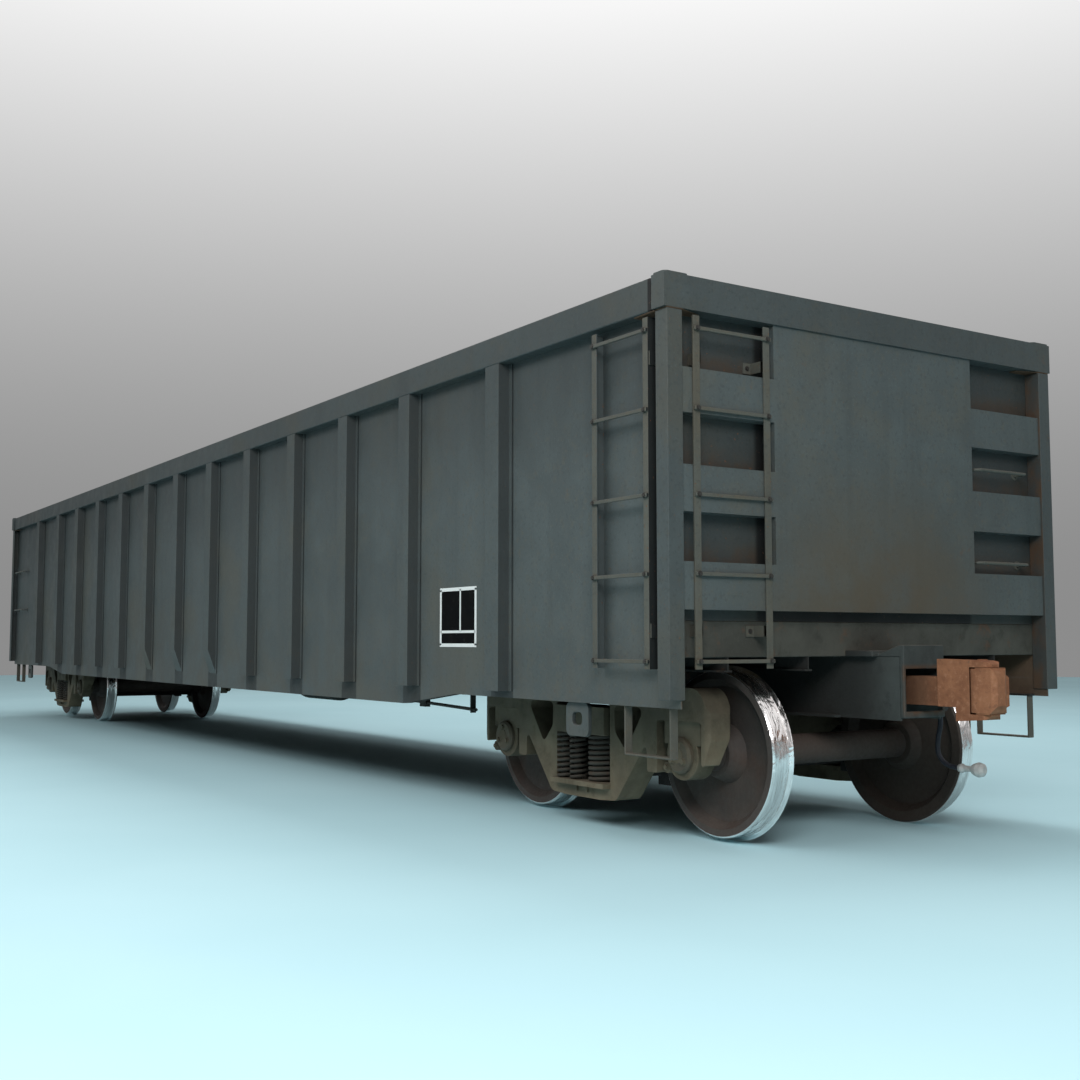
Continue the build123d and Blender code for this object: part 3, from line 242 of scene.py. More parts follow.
def painted(name, colour, low_dirt=0.5, rust=0.5, end_dirt=0.0, top_shade=0.0, inside=None, detail=None):
    """Satin paint on steel plate: cloudy tone, brown mottling, streaks running down, road dust low down.

    inside is an axis and a value: nearer to the middle than that value, the plate is worn by the load.
    detail is a function that adds what only this piece has.
    """
    s = Surface(name, specular=0.3)
    clouds = s.noise(0.75, 4)
    patches = s.noise(4.5, 6, 0.6)
    mottle = s.noise(21, 6, 0.66)
    streaks = s.noise(1.0, 5, 0.6, s.stretched(5.5, 5.5, 0.35))
    specks = s.noise(70, 4, 0.65)
    browned = (colour[0] * 1.32, colour[1] * 1.06, colour[2] * 0.84)
    tone = s.mix(s.spread(clouds, 0.3, 0.7), shade(colour, 0.9), shade(colour, 1.1))
    tone = s.mix(s.spread(patches, 0.42, 0.7, 0, 0.5), tone, shade(colour, 1.28))
    tone = s.mix(s.spread(mottle, 0.5, 0.72, 0, 0.55), tone, browned)
    tone = s.mix(s.spread(s.noise(1.15, 5, 0.6), 0.48, 0.7, 0, 0.6), tone, browned)
    tone = s.mix(s.spread(streaks, 0.5, 0.72, 0, 0.36), tone, shade(colour, 0.68))
    tone = s.mix(s.spread(specks, 0.55, 0.7, 0, 0.34), tone, shade(colour, 1.6))
    tone = s.mix(s.spread(s.noise(44, 5, 0.65), 0.52, 0.68, 0, 0.5), tone, shade(colour, 0.66))
    # Painted shade darkening the plate below the top chord, broken up by the streaks
    if top_shade:
        shade_under_chord = s.both(s.spread(s.z, *TOP_SHADE_LEVELS), s.spread(streaks, 0.25, 0.6, 1.0, 0.75))
        tone = s.mix(s.both(shade_under_chord, top_shade), tone, shade(colour, 0.3))
    low = s.spread(s.z, *DUST_LEVELS, 0, low_dirt)
    dust = s.both(low, s.spread(s.maths("ADD", patches, s.maths("SUBTRACT", streaks, 0.5)), 0.3, 0.72))
    tone = s.mix(dust, tone, ROAD_DUST)
    if end_dirt:
        across = s.spread(s.absolute(s.y), *END_DIRT_ACROSS)
        low_middle = s.both(across, s.spread(s.z, *END_DIRT_LEVELS))
        brown = s.both(low_middle, s.spread(s.noise(2.2, 6, 0.62), 0.28, 0.6, 0.35, end_dirt))
        tone = s.mix(brown, tone, DRY_MUD)
    if detail:
        tone = detail(s, tone)
    tone = s.mix(s.both(s.spread(s.noise(55, 3, 0.6), 0.66, 0.74), rust), tone, RUST)
    spots = s.spread(s.noise(7.5, 9, 0.7), 0.63, 0.7)
    field = s.spread(s.noise(1.3, 4), 0.45, 0.65)
    tone = s.mix(s.both(s.both(spots, field), rust), tone, RUST)
    roughness = s.spread(patches, 0.3, 0.75, 0.46, 0.68)
    if inside:
        axis, value = inside
        worn = s.maths("LESS_THAN", s.absolute(getattr(s, axis)), value)
        scrapes = s.noise(1.0, 7, 0.65, s.stretched(0.7, 0.7, 9))
        bare = s.mix(s.spread(s.noise(3.1, 8, 0.65), 0.36, 0.62), WORN_DARK, WORN_PALE)
        bare = s.mix(s.spread(scrapes, 0.52, 0.68, 0, 0.75), bare, WORN_SCRAPES)
        tone = s.mix(s.both(worn, s.spread(s.noise(1.6, 6, 0.6), 0.3, 0.5, 0.55, 1.0)), tone, bare)
    s.raised(clouds, 0.05, 0.2)
    s.raised(patches, 0.004, 0.3)
    s.raised(mottle, 0.001, 0.35)
    s.raised(specks, 0.0005, 0.5)
    return s.done(tone, roughness)


def grimy(name, colour, dust=ROAD_DUST, dust_share=0.45, grain=70, grain_depth=0.0016, rust=0.3,
          detail=None):
    """Cast or plate steel under old grime: sandy relief, dust lying on upward faces, rust in patches."""
    s = Surface(name, specular=0.25)
    clouds = s.noise(3.2, 6, 0.6)
    grit = s.noise(grain, 4, 0.6)
    stains = s.noise(9, 7, 0.65)
    tone = s.mix(s.spread(clouds, 0.3, 0.7), shade(colour, 0.74), shade(colour, 1.2))
    tone = s.mix(s.spread(stains, 0.52, 0.7, 0, 0.55), tone, shade(colour, 0.5))
    tone = s.mix(s.spread(grit, 0.55, 0.75, 0, 0.3), tone, shade(colour, 1.5))
    lying = s.both(s.spread(s.facing("Z"), 0.25, 0.9), s.spread(clouds, 0.25, 0.6, 0.4, 1.0))
    tone = s.mix(s.both(lying, dust_share), tone, shade(dust, 1.3))
    tone = s.mix(s.both(s.spread(s.noise(5.5, 9, 0.7), 0.57, 0.68), rust), tone, RUST)
    if detail:
        tone = detail(s, tone)
    s.raised(clouds, 0.006, 0.35)
    s.raised(grit, grain_depth, 0.55)
    return s.done(tone, s.spread(stains, 0.35, 0.7, 0.62, 0.85))


SHANK_SHADE_ZONE = (8.65, 8.5)      # along the car, from the coupler's head to its shank


def rusty(name):
    """A bare casting with an even coat of orange rust, darker where it rubs, and painted shade on the
    shank.
    """
    s = Surface(name, specular=0.2)
    broad = s.noise(6.5, 6, 0.6)
    fine = s.noise(34, 7, 0.68)
    grains = s.noise(150, 3, 0.6)
    tone = s.mix(s.spread(broad, 0.3, 0.7), COUPLER_ORANGE, COUPLER_PALE)
    tone = s.mix(s.spread(fine, 0.5, 0.7, 0, 0.6), tone, COUPLER_POWDER)
    tone = s.mix(s.spread(fine, 0.46, 0.3, 0, 0.55), tone, COUPLER_DEEP)
    rubbed = s.spread(s.noise(12, 5, 0.6, warp=0.6), 0.62, 0.74, 0, 0.6)
    tone = s.mix(rubbed, tone, COUPLER_RUBBED)
    # Painted shade on the shank, darker towards the car
    shank = s.spread(s.absolute(s.x), *SHANK_SHADE_ZONE)
    tone = s.mix(s.both(shank, 0.75), tone, COUPLER_SHANK_SHADE)
    s.raised(broad, 0.006, 0.3)
    s.raised(fine, 0.0018, 0.5)
    s.raised(grains, 0.0005, 0.5)
    return s.done(tone, s.spread(fine, 0.3, 0.7, 0.7, 0.92))


# Zones of a wheelset: distance from the axle's middle line, and from the middle of the car
AXLE_RADIUS, AXLE_END = (0.16, 0.12), (0.66, 0.62)
RIM_RADIUS, RIM_START = (0.424, 0.43), (0.66, 0.67)
TREAD_RADIUS, TREAD_START = (0.4625, 0.4645), (0.688, 0.692)
BACK_SHADE_END, CAP_START = (0.9, 0.88), (0.9, 0.91)
TURNING_MARKS = 520           # radians a metre


def wheel_steel(name, axle_x):
    """Dark rusty wheel plates and axle, a paler rim face, painted shade on the plates' backs, and a
    tread rolled bright.
    """
    s = Surface(name, specular=0.4)
    dx = s.maths("SUBTRACT", s.x, axle_x)
    dz = s.maths("SUBTRACT", s.z, AXLE_LEVEL)
    radius = s.maths("SQRT", s.maths("ADD", s.both(dx, dx), s.both(dz, dz)))
    sideways = s.absolute(s.y)
    broad = s.noise(4.5, 6, 0.6)
    fine = s.noise(40, 6, 0.65)
    plate = s.mix(s.spread(broad, 0.3, 0.7), WHEEL_DARK, WHEEL_PALE)
    plate = s.mix(s.spread(s.noise(2.2, 5, 0.6), 0.5, 0.68, 0, 0.6), plate, WHEEL_RUST)
    plate = s.mix(s.spread(fine, 0.52, 0.72, 0, 0.5), plate, WHEEL_GRIT)
    rings = s.maths("SINE", s.both(radius, TURNING_MARKS))
    plate = s.mix(s.spread(rings, 0.3, 1.0, 0, 0.1), plate, WHEEL_RINGS)
    rim = s.both(s.spread(radius, *RIM_RADIUS), s.spread(sideways, *RIM_START))
    plate = s.mix(s.both(rim, 0.55), plate, RIM_BROWN)
    axle = s.both(s.spread(radius, *AXLE_RADIUS), s.spread(sideways, *AXLE_END))
    plate = s.mix(s.both(axle, 0.6), plate, AXLE_BROWN)
    # Painted shade on the backs of the wheel plates, which face under the car
    inward = s.both(s.facing("Y"), s.maths("SIGN", s.y))
    back = s.both(s.spread(inward, -0.25, -0.7), s.spread(sideways, *BACK_SHADE_END))
    plate = s.mix(s.both(back, 0.75), plate, WHEEL_BACK_SHADE)
    cap = s.spread(sideways, *CAP_START)
    plate = s.mix(s.both(cap, s.spread(broad, 0.3, 0.6, 0.65, 0.95)), plate, shade(TRUCK_OLIVE, 0.64))
    bright = s.both(s.spread(radius, *TREAD_RADIUS), s.spread(sideways, *TREAD_START))
    across = s.noise(1.0, 4, 0.6, s.stretched(5, 130, 5))
    waves = s.noise(1.0, 2.5, 0.5, s.stretched(9, 24, 9), 0.5)
    tread = s.mix(s.spread(across, 0.35, 0.65), TREAD_DULL, TREAD_BRIGHT)
    tone = s.mix(bright, plate, tread)
    s.feed(s.shader.inputs["Metallic"], bright)
    rough_plate = s.spread(fine, 0.3, 0.7, 0.62, 0.86)
    rough_tread = s.spread(across, 0.3, 0.7, 0.14, 0.27)
    s.raised(broad, 0.004, 0.3)
    s.raised(s.both(waves, bright), 0.026, 0.5)
    s.raised(fine, 0.0006, 0.3)
    return s.done(tone, s.blend(bright, rough_plate, rough_tread))


DIRT_BESIDE_WALLS, DIRT_BEFORE_ENDS = (1.05, 1.48), (7.5, 8.07)


def load_floor(name):
    """Bare floor plate, rusted, scraped along the car by loads, with dirt in the corners."""
    s = Surface(name, specular=0.35)
    broad = s.noise(0.9, 6, 0.6)
    stains = s.noise(3.4, 8, 0.65)
    scrapes = s.noise(1.0, 7, 0.7, s.stretched(0.8, 14, 6))
    grit = s.noise(55, 4, 0.6)
    tone = s.mix(s.spread(stains, 0.3, 0.7), LOAD_RUST_DARK, LOAD_RUST)
    tone = s.mix(s.spread(broad, 0.45, 0.7, 0, 0.7), tone, LOAD_GREY)
    tone = s.mix(s.spread(scrapes, 0.54, 0.68, 0, 0.7), tone, LOAD_SCRAPES)
    edge = s.spread(s.absolute(s.y), *DIRT_BESIDE_WALLS)
    ends = s.spread(s.absolute(s.x), *DIRT_BEFORE_ENDS)
    heaped = s.both(s.maths("MAXIMUM", edge, ends), s.spread(stains, 0.3, 0.62, 0.25, 1.0))
    tone = s.mix(s.both(heaped, 0.85), tone, LOAD_DIRT)
    s.raised(broad, 0.05, 0.35)
    s.raised(stains, 0.006, 0.4)
    s.raised(grit, 0.0015, 0.5)
    return s.done(tone, s.spread(scrapes, 0.4, 0.7, 0.85, 0.5))


HOSE_WRAP = 1500              # radians a metre


def rubber(name):
    """Air hose rubber: navy black and dusty, with the texture of a fabric wrap."""
    s = Surface(name, specular=0.35)
    wrap = s.maths("SINE", s.both(s.maths("ADD", s.z, s.both(s.x, 0.4)), HOSE_WRAP))
    dust = s.noise(60, 6, 0.65)
    tone = s.mix(s.spread(dust, 0.45, 0.75, 0, 0.7), HOSE_NAVY, HOSE_DUST)
    s.raised(wrap, 0.0004, 0.5)
    s.raised(dust, 0.0006, 0.4)
    return s.done(tone, s.spread(dust, 0.3, 0.7, 0.5, 0.75))


def pale_metal(name, colour, roughness, metallic):
    """Dull cast or worn metal with darker grains."""
    s = Surface(name, metallic=metallic, specular=0.5)
    broad = s.noise(22, 6, 0.6)
    fine = s.noise(130, 4, 0.6)
    tone = s.mix(s.spread(broad, 0.32, 0.68), shade(colour, 0.8), shade(colour, 1.12))
    tone = s.mix(s.spread(fine, 0.55, 0.75, 0, 0.5), tone, shade(colour, 0.55))
    s.raised(fine, 0.0005, 0.5)
    return s.done(tone, s.spread(broad, 0.3, 0.7, roughness, roughness + 0.22))


def sign_paint(name, colour):
    """Flat paint of a blank plate, rubbed and dusty."""
    s = Surface(name, specular=0.03)
    rubbed = s.noise(26, 7, 0.68)
    dust = s.noise(6, 5, 0.6)
    tone = s.mix(s.spread(rubbed, 0.58, 0.74, 0, 0.3), colour, RUBBED_PAINT)
    tone = s.mix(s.spread(dust, 0.5, 0.8, 0, 0.08), tone, ROAD_DUST)
    s.raised(rubbed, 0.0004, 0.4)
    return s.done(tone, s.spread(dust, 0.3, 0.7, 0.7, 0.85))


# Zones of the dirt and of the painted shade on single pieces: from none to all of it
CHORD_SLOT_SHADOW = (CHORD_END - 0.024, CHORD_END - 0.02)
FLANGE_SHADOW_LINE = (POST_FLANGE_EDGE + 0.016, POST_FLANGE_EDGE + 0.006)
LAST_EVEN_BAY = END_POST - 0.6   # beyond it only the end post counts, which stands off the pitch
ABOVE_RIB, RIB_EDGE = (0.15, 0.05), (-0.01, 0.0)
END_PANEL_SHADE = (END_PANEL_EDGE + 0.085, END_PANEL_EDGE + 0.045)
STILE_FACES, CORNER_STILES = (1.484, 1.492), (7.7, 7.75)
TRUCK_SHADE_LEVELS = (0.46, 0.78)
SILL_SHADE, STRIKER_FRONT, OPENING_RIM = (8.44, 8.15), (8.45, 8.465), (0.15, 0.125)


def chord_slot_shadow(s, tone):
    """Painted shadow: the side chord is black inside the open slot before the end chord."""
    return s.mix(s.spread(s.absolute(s.x), *CHORD_SLOT_SHADOW), tone, BLACK)


def post_side_shade(s, tone):
    """Painted shade on the sides of the posts, the faces that look along the car."""
    sideways = s.spread(s.absolute(s.facing("X")), 0.4, 0.8)
    return s.mix(s.both(sideways, 0.72), tone, shade(BODY_BLUE, 0.3))


def flange_shadow_line(s, tone):
    """A painted dark line of shadow on the sheet along the flanges of the posts."""
    far = s.absolute(s.x)
    bay = s.maths("FRACT", s.maths("ADD", s.maths("DIVIDE", s.x, POST_PITCH), 0.5))
    evenly = s.both(s.absolute(s.maths("SUBTRACT", bay, 0.5)), POST_PITCH)
    evenly = s.maths("ADD", evenly, s.maths("GREATER_THAN", far, LAST_EVEN_BAY))
    off = s.maths("MINIMUM", evenly, s.absolute(s.maths("SUBTRACT", far, END_POST)))
    line = s.spread(off, *FLANGE_SHADOW_LINE)
    return s.mix(s.both(line, 0.75), tone, shade(BODY_BLUE, 0.22))


def recess_rust_and_shade(s, tone):
    """Rust that settles above the ribs, and painted shade, nearly black, in the corner beside the middle
    panel.
    """
    patches = s.spread(s.noise(6, 7, 0.65), 0.36, 0.62, 0.1, 0.8)
    for top in RIB_TOPS:
        over = s.maths("SUBTRACT", s.z, top)
        above = s.both(s.spread(over, *ABOVE_RIB), s.spread(over, *RIB_EDGE))
        tone = s.mix(s.both(above, patches), tone, RECESS_RUST)
    corner_shade = s.spread(s.absolute(s.y), *END_PANEL_SHADE)
    return s.mix(s.both(corner_shade, 0.94), tone, BLACK)


def web_rust(s, tone):
    """Rust on the webs of the corner posts, which face the middle of the car."""
    web = s.spread(s.both(s.facing("Y"), s.maths("SIGN", s.y)), -0.6, -0.9)
    patches = s.spread(s.noise(4.5, 7, 0.65, s.stretched(1, 1, 0.55)), 0.42, 0.62, 0.1, 0.9)
    tone = s.mix(s.both(web, 0.4), tone, shade(BODY_BLUE, 0.4))
    return s.mix(s.both(web, patches), tone, GUSSET_RUST)


def stile_sides(s, tone):
    """Body paint on the side ladders' faces that look along the car, and painted shade, nearly black, on
    those faces of the stiles at the corners.
    """
    along = s.spread(s.absolute(s.facing("X")), 0.6, 0.9)
    beside = s.spread(s.absolute(s.y), *STILE_FACES)
    legs = s.both(along, beside)
    corner = s.spread(s.absolute(s.x), *CORNER_STILES)
    tone = s.mix(legs, tone, shade(BODY_BLUE, 0.85))
    # Painted shade, nearly black, on the legs of the stiles at the corners
    return s.mix(s.both(s.both(legs, corner), 0.8), tone, BLACK)


def truck_shade_under_body(s, tone):
    """Painted shade high on the trucks, under the body, broken into patches."""
    high = s.spread(s.z, *TRUCK_SHADE_LEVELS)
    patches = s.spread(s.noise(5, 5, 0.6), 0.3, 0.65, 0.45, 0.75)
    return s.mix(s.both(high, patches), tone, shade(TRUCK_OLIVE, 0.28))


def sill_shade_and_opening_rust(s, tone):
    """Rust round the opening that the coupler swings in, and painted shade darkening the sills towards
    the trucks.
    """
    # Painted shade, darker further under the car
    inner = s.spread(s.absolute(s.x), *SILL_SHADE)
    tone = s.mix(s.both(inner, 0.8), tone, GRIME_AND_SHADE)
    front = s.spread(s.absolute(s.x), *STRIKER_FRONT)
    rim = s.spread(s.absolute(s.maths("SUBTRACT", s.z, OPENING_LEVEL)), *OPENING_RIM)
    patches = s.spread(s.noise(9, 7, 0.65), 0.34, 0.6, 0.2, 0.9)
    return s.mix(s.both(s.both(front, rim), patches), tone, OPENING_RUST)


# The side top chords take a darker copy of the body colour: painted shade high on the car
chord_paint = painted("chord_paint", shade(BODY_BLUE, 0.68), low_dirt=0.0, rust=0.3, detail=chord_slot_shadow)
post_paint = painted("post_paint", shade(BODY_BLUE, 0.93), low_dirt=0.25, rust=0.35, top_shade=0.4,
                     detail=post_side_shade)
sheet_paint = painted("side_sheet_paint", BODY_BLUE, low_dirt=0.3, rust=0.4, top_shade=0.6,
                      inside=("y", SIDE_SHEET_INSIDE), detail=flange_shadow_line)
end_paint = painted("end_paint", BODY_BLUE, low_dirt=0.2, rust=0.4, end_dirt=0.95)
end_chord_paint = painted("end_chord_paint", shade(BODY_BLUE, 0.77), low_dirt=0.0, rust=0.4)
# Half the body's tone on the recessed end sheets is painted shade, under dirt and rust
shaded_end_sheet_paint = painted("shaded_end_sheet_paint", shade(BODY_BLUE, 0.5), low_dirt=0.5, rust=0.9, end_dirt=0.5,
                          inside=("x", END_SHEET_INSIDE), detail=recess_rust_and_shade)
corner_paint = painted("corner_paint", shade(BODY_BLUE, 0.78), low_dirt=0.25, rust=0.7, detail=web_rust)
ladder_paint = painted("ladder_paint", LADDER_GREY, low_dirt=0.4, rust=1.0, detail=stile_sides)
gusset_rust = grimy("gusset_rust", GUSSET_RUST, rust=0.7)
underframe_grime = grimy("underframe_grime", GRIME_AND_SHADE, dust_share=0.3, rust=0.35)
end_sill_paint = grimy("end_sill_paint", END_SILL_BROWN, dust=DRY_MUD, rust=0.45)
sill_paint = grimy("sill_paint", SILL_GREY, rust=0.25, detail=sill_shade_and_opening_rust)
gear_paint = grimy("gear_paint", shade(SILL_GREY, 0.85), rust=0.4)
truck_cast = grimy("truck_cast", TRUCK_OLIVE, dust_share=0.5, rust=0.12, detail=truck_shade_under_body)
bearing_cast = grimy("bearing_cast", shade(TRUCK_OLIVE, 0.74), dust_share=0.35, rust=0.1)
spring_grime = grimy("spring_grime", SPRING_BROWN, dust_share=0.5, grain=120, grain_depth=0.0008)
shoe_black = grimy("shoe_black", SHOE_BROWN, rust=0.4)
pipe_paint = grimy("pipe_paint", PIPE_BROWN, grain=110, grain_depth=0.0007)
coupler_rust = rusty("coupler_rust")
floor_steel = load_floor("floor_steel")
hose_rubber = rubber("hose_rubber")
fitting_metal = pale_metal("fitting_metal", FITTING_GREY, roughness=0.34, metallic=0.0)
bolt_steel = pale_metal("bolt_steel", BOLT_BROWN, roughness=0.5, metallic=0.2)
plate_black = sign_paint("plate_black", PLATE_BLACK)
plate_white = sign_paint("plate_white", PLATE_WHITE)

FINISHES = {
    chord_paint: "side_top_chords",
    post_paint: "side_posts lifting_lugs",
    sheet_paint: "side_sheets",
    end_paint: "end_panels end_ribs",
    end_chord_paint: "end_top_chords",
    shaded_end_sheet_paint: "end_sheets",
    corner_paint: "corner_posts",
    ladder_paint: "ladder_stiles ladder_rungs grab_irons sill_steps",
    gusset_rust: "corner_gussets",
    floor_steel: "floor_sheet",
    underframe_grime: "side_sills cross_beams body_bolsters stringers draft_pins",
    end_sill_paint: "end_sills",
    sill_paint: "centre_sill strikers",
    gear_paint: "air_reservoir brake_cylinder control_valve hand_brake",
    pipe_paint: "brake_pipe brake_rods angle_cocks",
    hose_rubber: "air_hose",
    fitting_metal: "glad_hand",
    coupler_rust: "coupler_a coupler_b knuckle_a knuckle_b",
    truck_cast: "side_frames_a side_frames_b truck_bolster_a truck_bolster_b",
    bearing_cast: "bearings_a bearings_b",
    spring_grime: "truck_springs_a truck_springs_b",
    shoe_black: "brake_beams_a brake_beams_b",
}


def dress(name, finish):
    """Gives a node of the CAD one material."""
    slots = nodes[name].data.materials
    slots.clear()
    slots.append(finish)


for finish, names in FINISHES.items():
    for name in names.split():
        dress(name, finish)
for tag, x in AXLES.items():
    dress(f"wheelset_{tag}", wheel_steel(f"wheel_steel_{tag}", x))

# Edges of plates and castings are rounded off; width in metres and number of steps
ROUNDED = {
    (0.004, 2): "side_posts corner_posts corner_gussets lifting_lugs sill_steps",
    (0.0025, 2): "ladder_rungs ladder_stiles",
    (0.009, 3): "side_top_chords end_top_chords",
    (0.006, 2): "end_sills strikers body_bolsters brake_beams_a brake_beams_b control_valve",
    (0.018, 4): "side_frames_a side_frames_b",
    (0.01, 2): "truck_bolster_a truck_bolster_b",
    (0.013, 3): "coupler_a coupler_b knuckle_a knuckle_b",
    (0.005, 2): "bearings_a bearings_b",
}
WELD_REACH = 2e-5
FLAT_ANGLE, EDGE_ANGLE = radians(1), radians(32)
for (width, steps), names in ROUNDED.items():
    for name in names.split():
        modifiers = nodes[name].modifiers
        weld = modifiers.new("weld", "WELD")
        weld.merge_threshold = WELD_REACH
        flat = modifiers.new("flat", "DECIMATE")
        flat.decimate_type = "DISSOLVE"
        flat.angle_limit = FLAT_ANGLE
        edges = modifiers.new("edges", "BEVEL")
        edges.width = width
        edges.segments = steps
        edges.limit_method = "ANGLE"
        edges.angle_limit = EDGE_ANGLE
        modifiers.new("normals", "WEIGHTED_NORMAL")


# Air hose: the route of the tube, as the control points of one smooth line
HOSE_DIAMETER = 0.028
HOSE_ROUND, HOSE_STEPS = 6, 16   # fineness round the hose, and along it
HOSE_ROUTE = [
    (8.322, 0.3, 0.7212),
    (8.325, 0.3, 0.660),
    (8.300, 0.3, 0.580),
    (8.296, 0.3, 0.486),
    (8.366, 0.3, 0.422),
    (8.450, 0.3, 0.422),
]
hose_curve = bpy.data.curves.new("hose", "CURVE")
hose_curve.dimensions = "3D"
hose_curve.bevel_depth = HOSE_DIAMETER / 2
hose_curve.bevel_resolution = HOSE_ROUND
hose_curve.use_fill_caps = True
hose_line = hose_curve.splines.new("NURBS")
hose_line.points.add(len(HOSE_ROUTE) - 1)
for point, place in zip(hose_line.points, HOSE_ROUTE):
    point.co = (*place, 1)
hose_line.order_u = 3
hose_line.use_endpoint_u = True
hose_line.resolution_u = HOSE_STEPS
hose = placed("hose", hose_curve)
hose_curve.materials.append(hose_rubber)
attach(hose, "carbody")
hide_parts("air_hose")


COIL_SMOOTH, PLATE_SMOOTH = 60, 30   # degrees


def piece(name, shape, material, body, smooth_below=PLATE_SMOOTH):
    """A new mesh piece that rides on a body; edges sharper than the angle stay crisp."""
    mesh = bpy.data.meshes.new(name)
    bmesh.ops.recalc_face_normals(shape, faces=shape.faces)
    shape.to_mesh(mesh)
    shape.free()
    mesh.shade_smooth()
    mesh.set_sharp_from_angle(angle=radians(smooth_below))
    mesh.materials.append(material)
    made = placed(name, mesh)
    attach(made, body)
    return made


def tube(shape, points, radius, sides):
    """A round bar along the points, closed at both ends."""
    rings = []
    across = None
    turns = [2 * pi * k / sides for k in range(sides)]
    for n, point in enumerate(points):
        along = (points[min(n + 1, len(points) - 1)] - points[max(n - 1, 0)]).normalized()
        across = along.orthogonal() if across is None else across - along * across.dot(along)
        across.normalize()
        other = along.cross(across)
        offsets = [radius * (cos(a) * across + sin(a) * other) for a in turns]
        rings.append([shape.verts.new(point + offset) for offset in offsets])
    for one, two in zip(rings, rings[1:]):
        for k in range(sides):
            shape.faces.new((one[k], one[(k + 1) % sides], two[(k + 1) % sides], two[k]))
    shape.faces.new(rings[0])
    shape.faces.new(rings[-1])


TAPER = 0.93                  # radius at the top of a turned step, against its foot


def turned(shape, place, axis, steps):
    """Steps that stand on each other along an axis: radius, height and number of sides of each."""
    frame_of = Matrix.Translation(place) @ Vector(axis).to_track_quat("Z", "Y").to_matrix().to_4x4()
    low = 0
    for radius, height, count in steps:
        bmesh.ops.create_cone(
            shape, cap_ends=True, segments=count, radius1=radius, radius2=radius * TAPER,
            depth=height, matrix=frame_of @ Matrix.Translation((0, 0, low + height / 2)),
        )
        low += height


WASHER_RADIUS, WASHER_HEIGHT, WASHER_SIDES = 1.35, 0.22, 14   # against the head's radius
HEAD_HEIGHT, HEAD_SIDES = 0.6, 6


def bolt(shape, place, axis, size):
    """A hexagon head of the given radius on its washer."""
    washer = (size * WASHER_RADIUS, size * WASHER_HEIGHT, WASHER_SIDES)
    turned(shape, place, axis, [washer, (size, size * HEAD_HEIGHT, HEAD_SIDES)])


def block(shape, centre, size):
    """A box of the given size round its centre."""
    bmesh.ops.create_cube(shape, size=1, matrix=Matrix.Translation(centre) @ Matrix.Diagonal((*size, 1)))


# Springs: an outer and an inner coil in each column, with flat end turns, round a barrel
SPRING_FOOT, SPRING_HEAD = 0.285, 0.568
SPRING_COLUMNS = [            # along from the truck's middle, across from the frame's, radius, wire
    (-0.206, 0.068, 0.064, 0.0104),
    (-0.206, -0.068, 0.064, 0.0104),
    (-0.072, 0.068, 0.060, 0.0104),
    (-0.072, -0.068, 0.060, 0.0104),
    (0.118, 0.0, 0.110, 0.0118),
]
SPRING_TURNS = 9.5
SPRING_FLAT = 0.65            # turns that lie flat at each end
POINTS_A_TURN, WIRE_SIDES = 22, 8
INNER_GAP, INNER_WIRE = 2.5, 0.8   # between the radii of the coils, and the inner wire, in outer wires
BARREL, BARREL_TOP = 0.25, 0.2     # radius of the barrel's two halves, against the spring's
BARREL_SIDES = 16


def coil(shape, centre, radius, wire, hand):
    """One spring, wound to the right (hand 1) or to the left (hand -1)."""
    low, high = SPRING_FOOT + wire, SPRING_HEAD - wire
    count = int(SPRING_TURNS * POINTS_A_TURN)
    points = []
    for n in range(count + 1):
        turn = SPRING_TURNS * n / count
        rise = min(max((turn - SPRING_FLAT) / (SPRING_TURNS - 2 * SPRING_FLAT), 0), 1)
        angle = hand * 2 * pi * turn
        points.append(centre + Vector((
            (radius - wire) * cos(angle), (radius - wire) * sin(angle), low + rise * (high - low),
        )))
    tube(shape, points, wire, WIRE_SIDES)


for tag, middle in TRUCKS.items():
    shape = bmesh.new()
    for side in SIDES:
        for along, across, radius, wire in SPRING_COLUMNS:
            centre = Vector((middle + along, side * (FRAME_MIDDLE + across), 0))
            coil(shape, centre, radius, wire, 1)
            coil(shape, centre, radius - INNER_GAP * wire, INNER_WIRE * wire, -1)
            foot = centre + Vector((0, 0, SPRING_FOOT))
            half = (SPRING_HEAD - SPRING_FOOT) / 2
            halves = [(radius * share, half, BARREL_SIDES) for share in (BARREL, BARREL_TOP)]
            turned(shape, foot, UP, halves)
    springs = piece(f"coil_springs_{tag}", shape, spring_grime, f"truck_{tag}",
                    smooth_below=COIL_SMOOTH)
    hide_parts(f"truck_springs_{tag}")

# Bearing caps: cap screws round a locking plate on the end of each axle
CAP_SCREW, CAP_SCREW_RING, CAP_SCREWS = 0.017, 0.058, 3
LOCKING_PLATE, LOCKING_PLATE_SUNK = (0.046, 0.016, 20), 0.012
SEATED = 0.001                # how deep a bolt's washer sits in its face
for tag, x in AXLES.items():
    shape = bmesh.new()
    for side in SIDES:
        face = Vector((x, side * (AXLE_CAP_FACE - SEATED), AXLE_LEVEL))
        turned(shape, face - Vector((0, side * LOCKING_PLATE_SUNK, 0)), (0, side, 0), [LOCKING_PLATE])
        for n in range(CAP_SCREWS):
            angle = radians(90 + 360 / CAP_SCREWS * n)
            at = face + CAP_SCREW_RING * Vector((cos(angle), 0, sin(angle)))
            bolt(shape, at, (0, side, 0), CAP_SCREW)
    piece(f"cap_screws_{tag}", shape, bearing_cast, f"wheelset_{tag}_body")

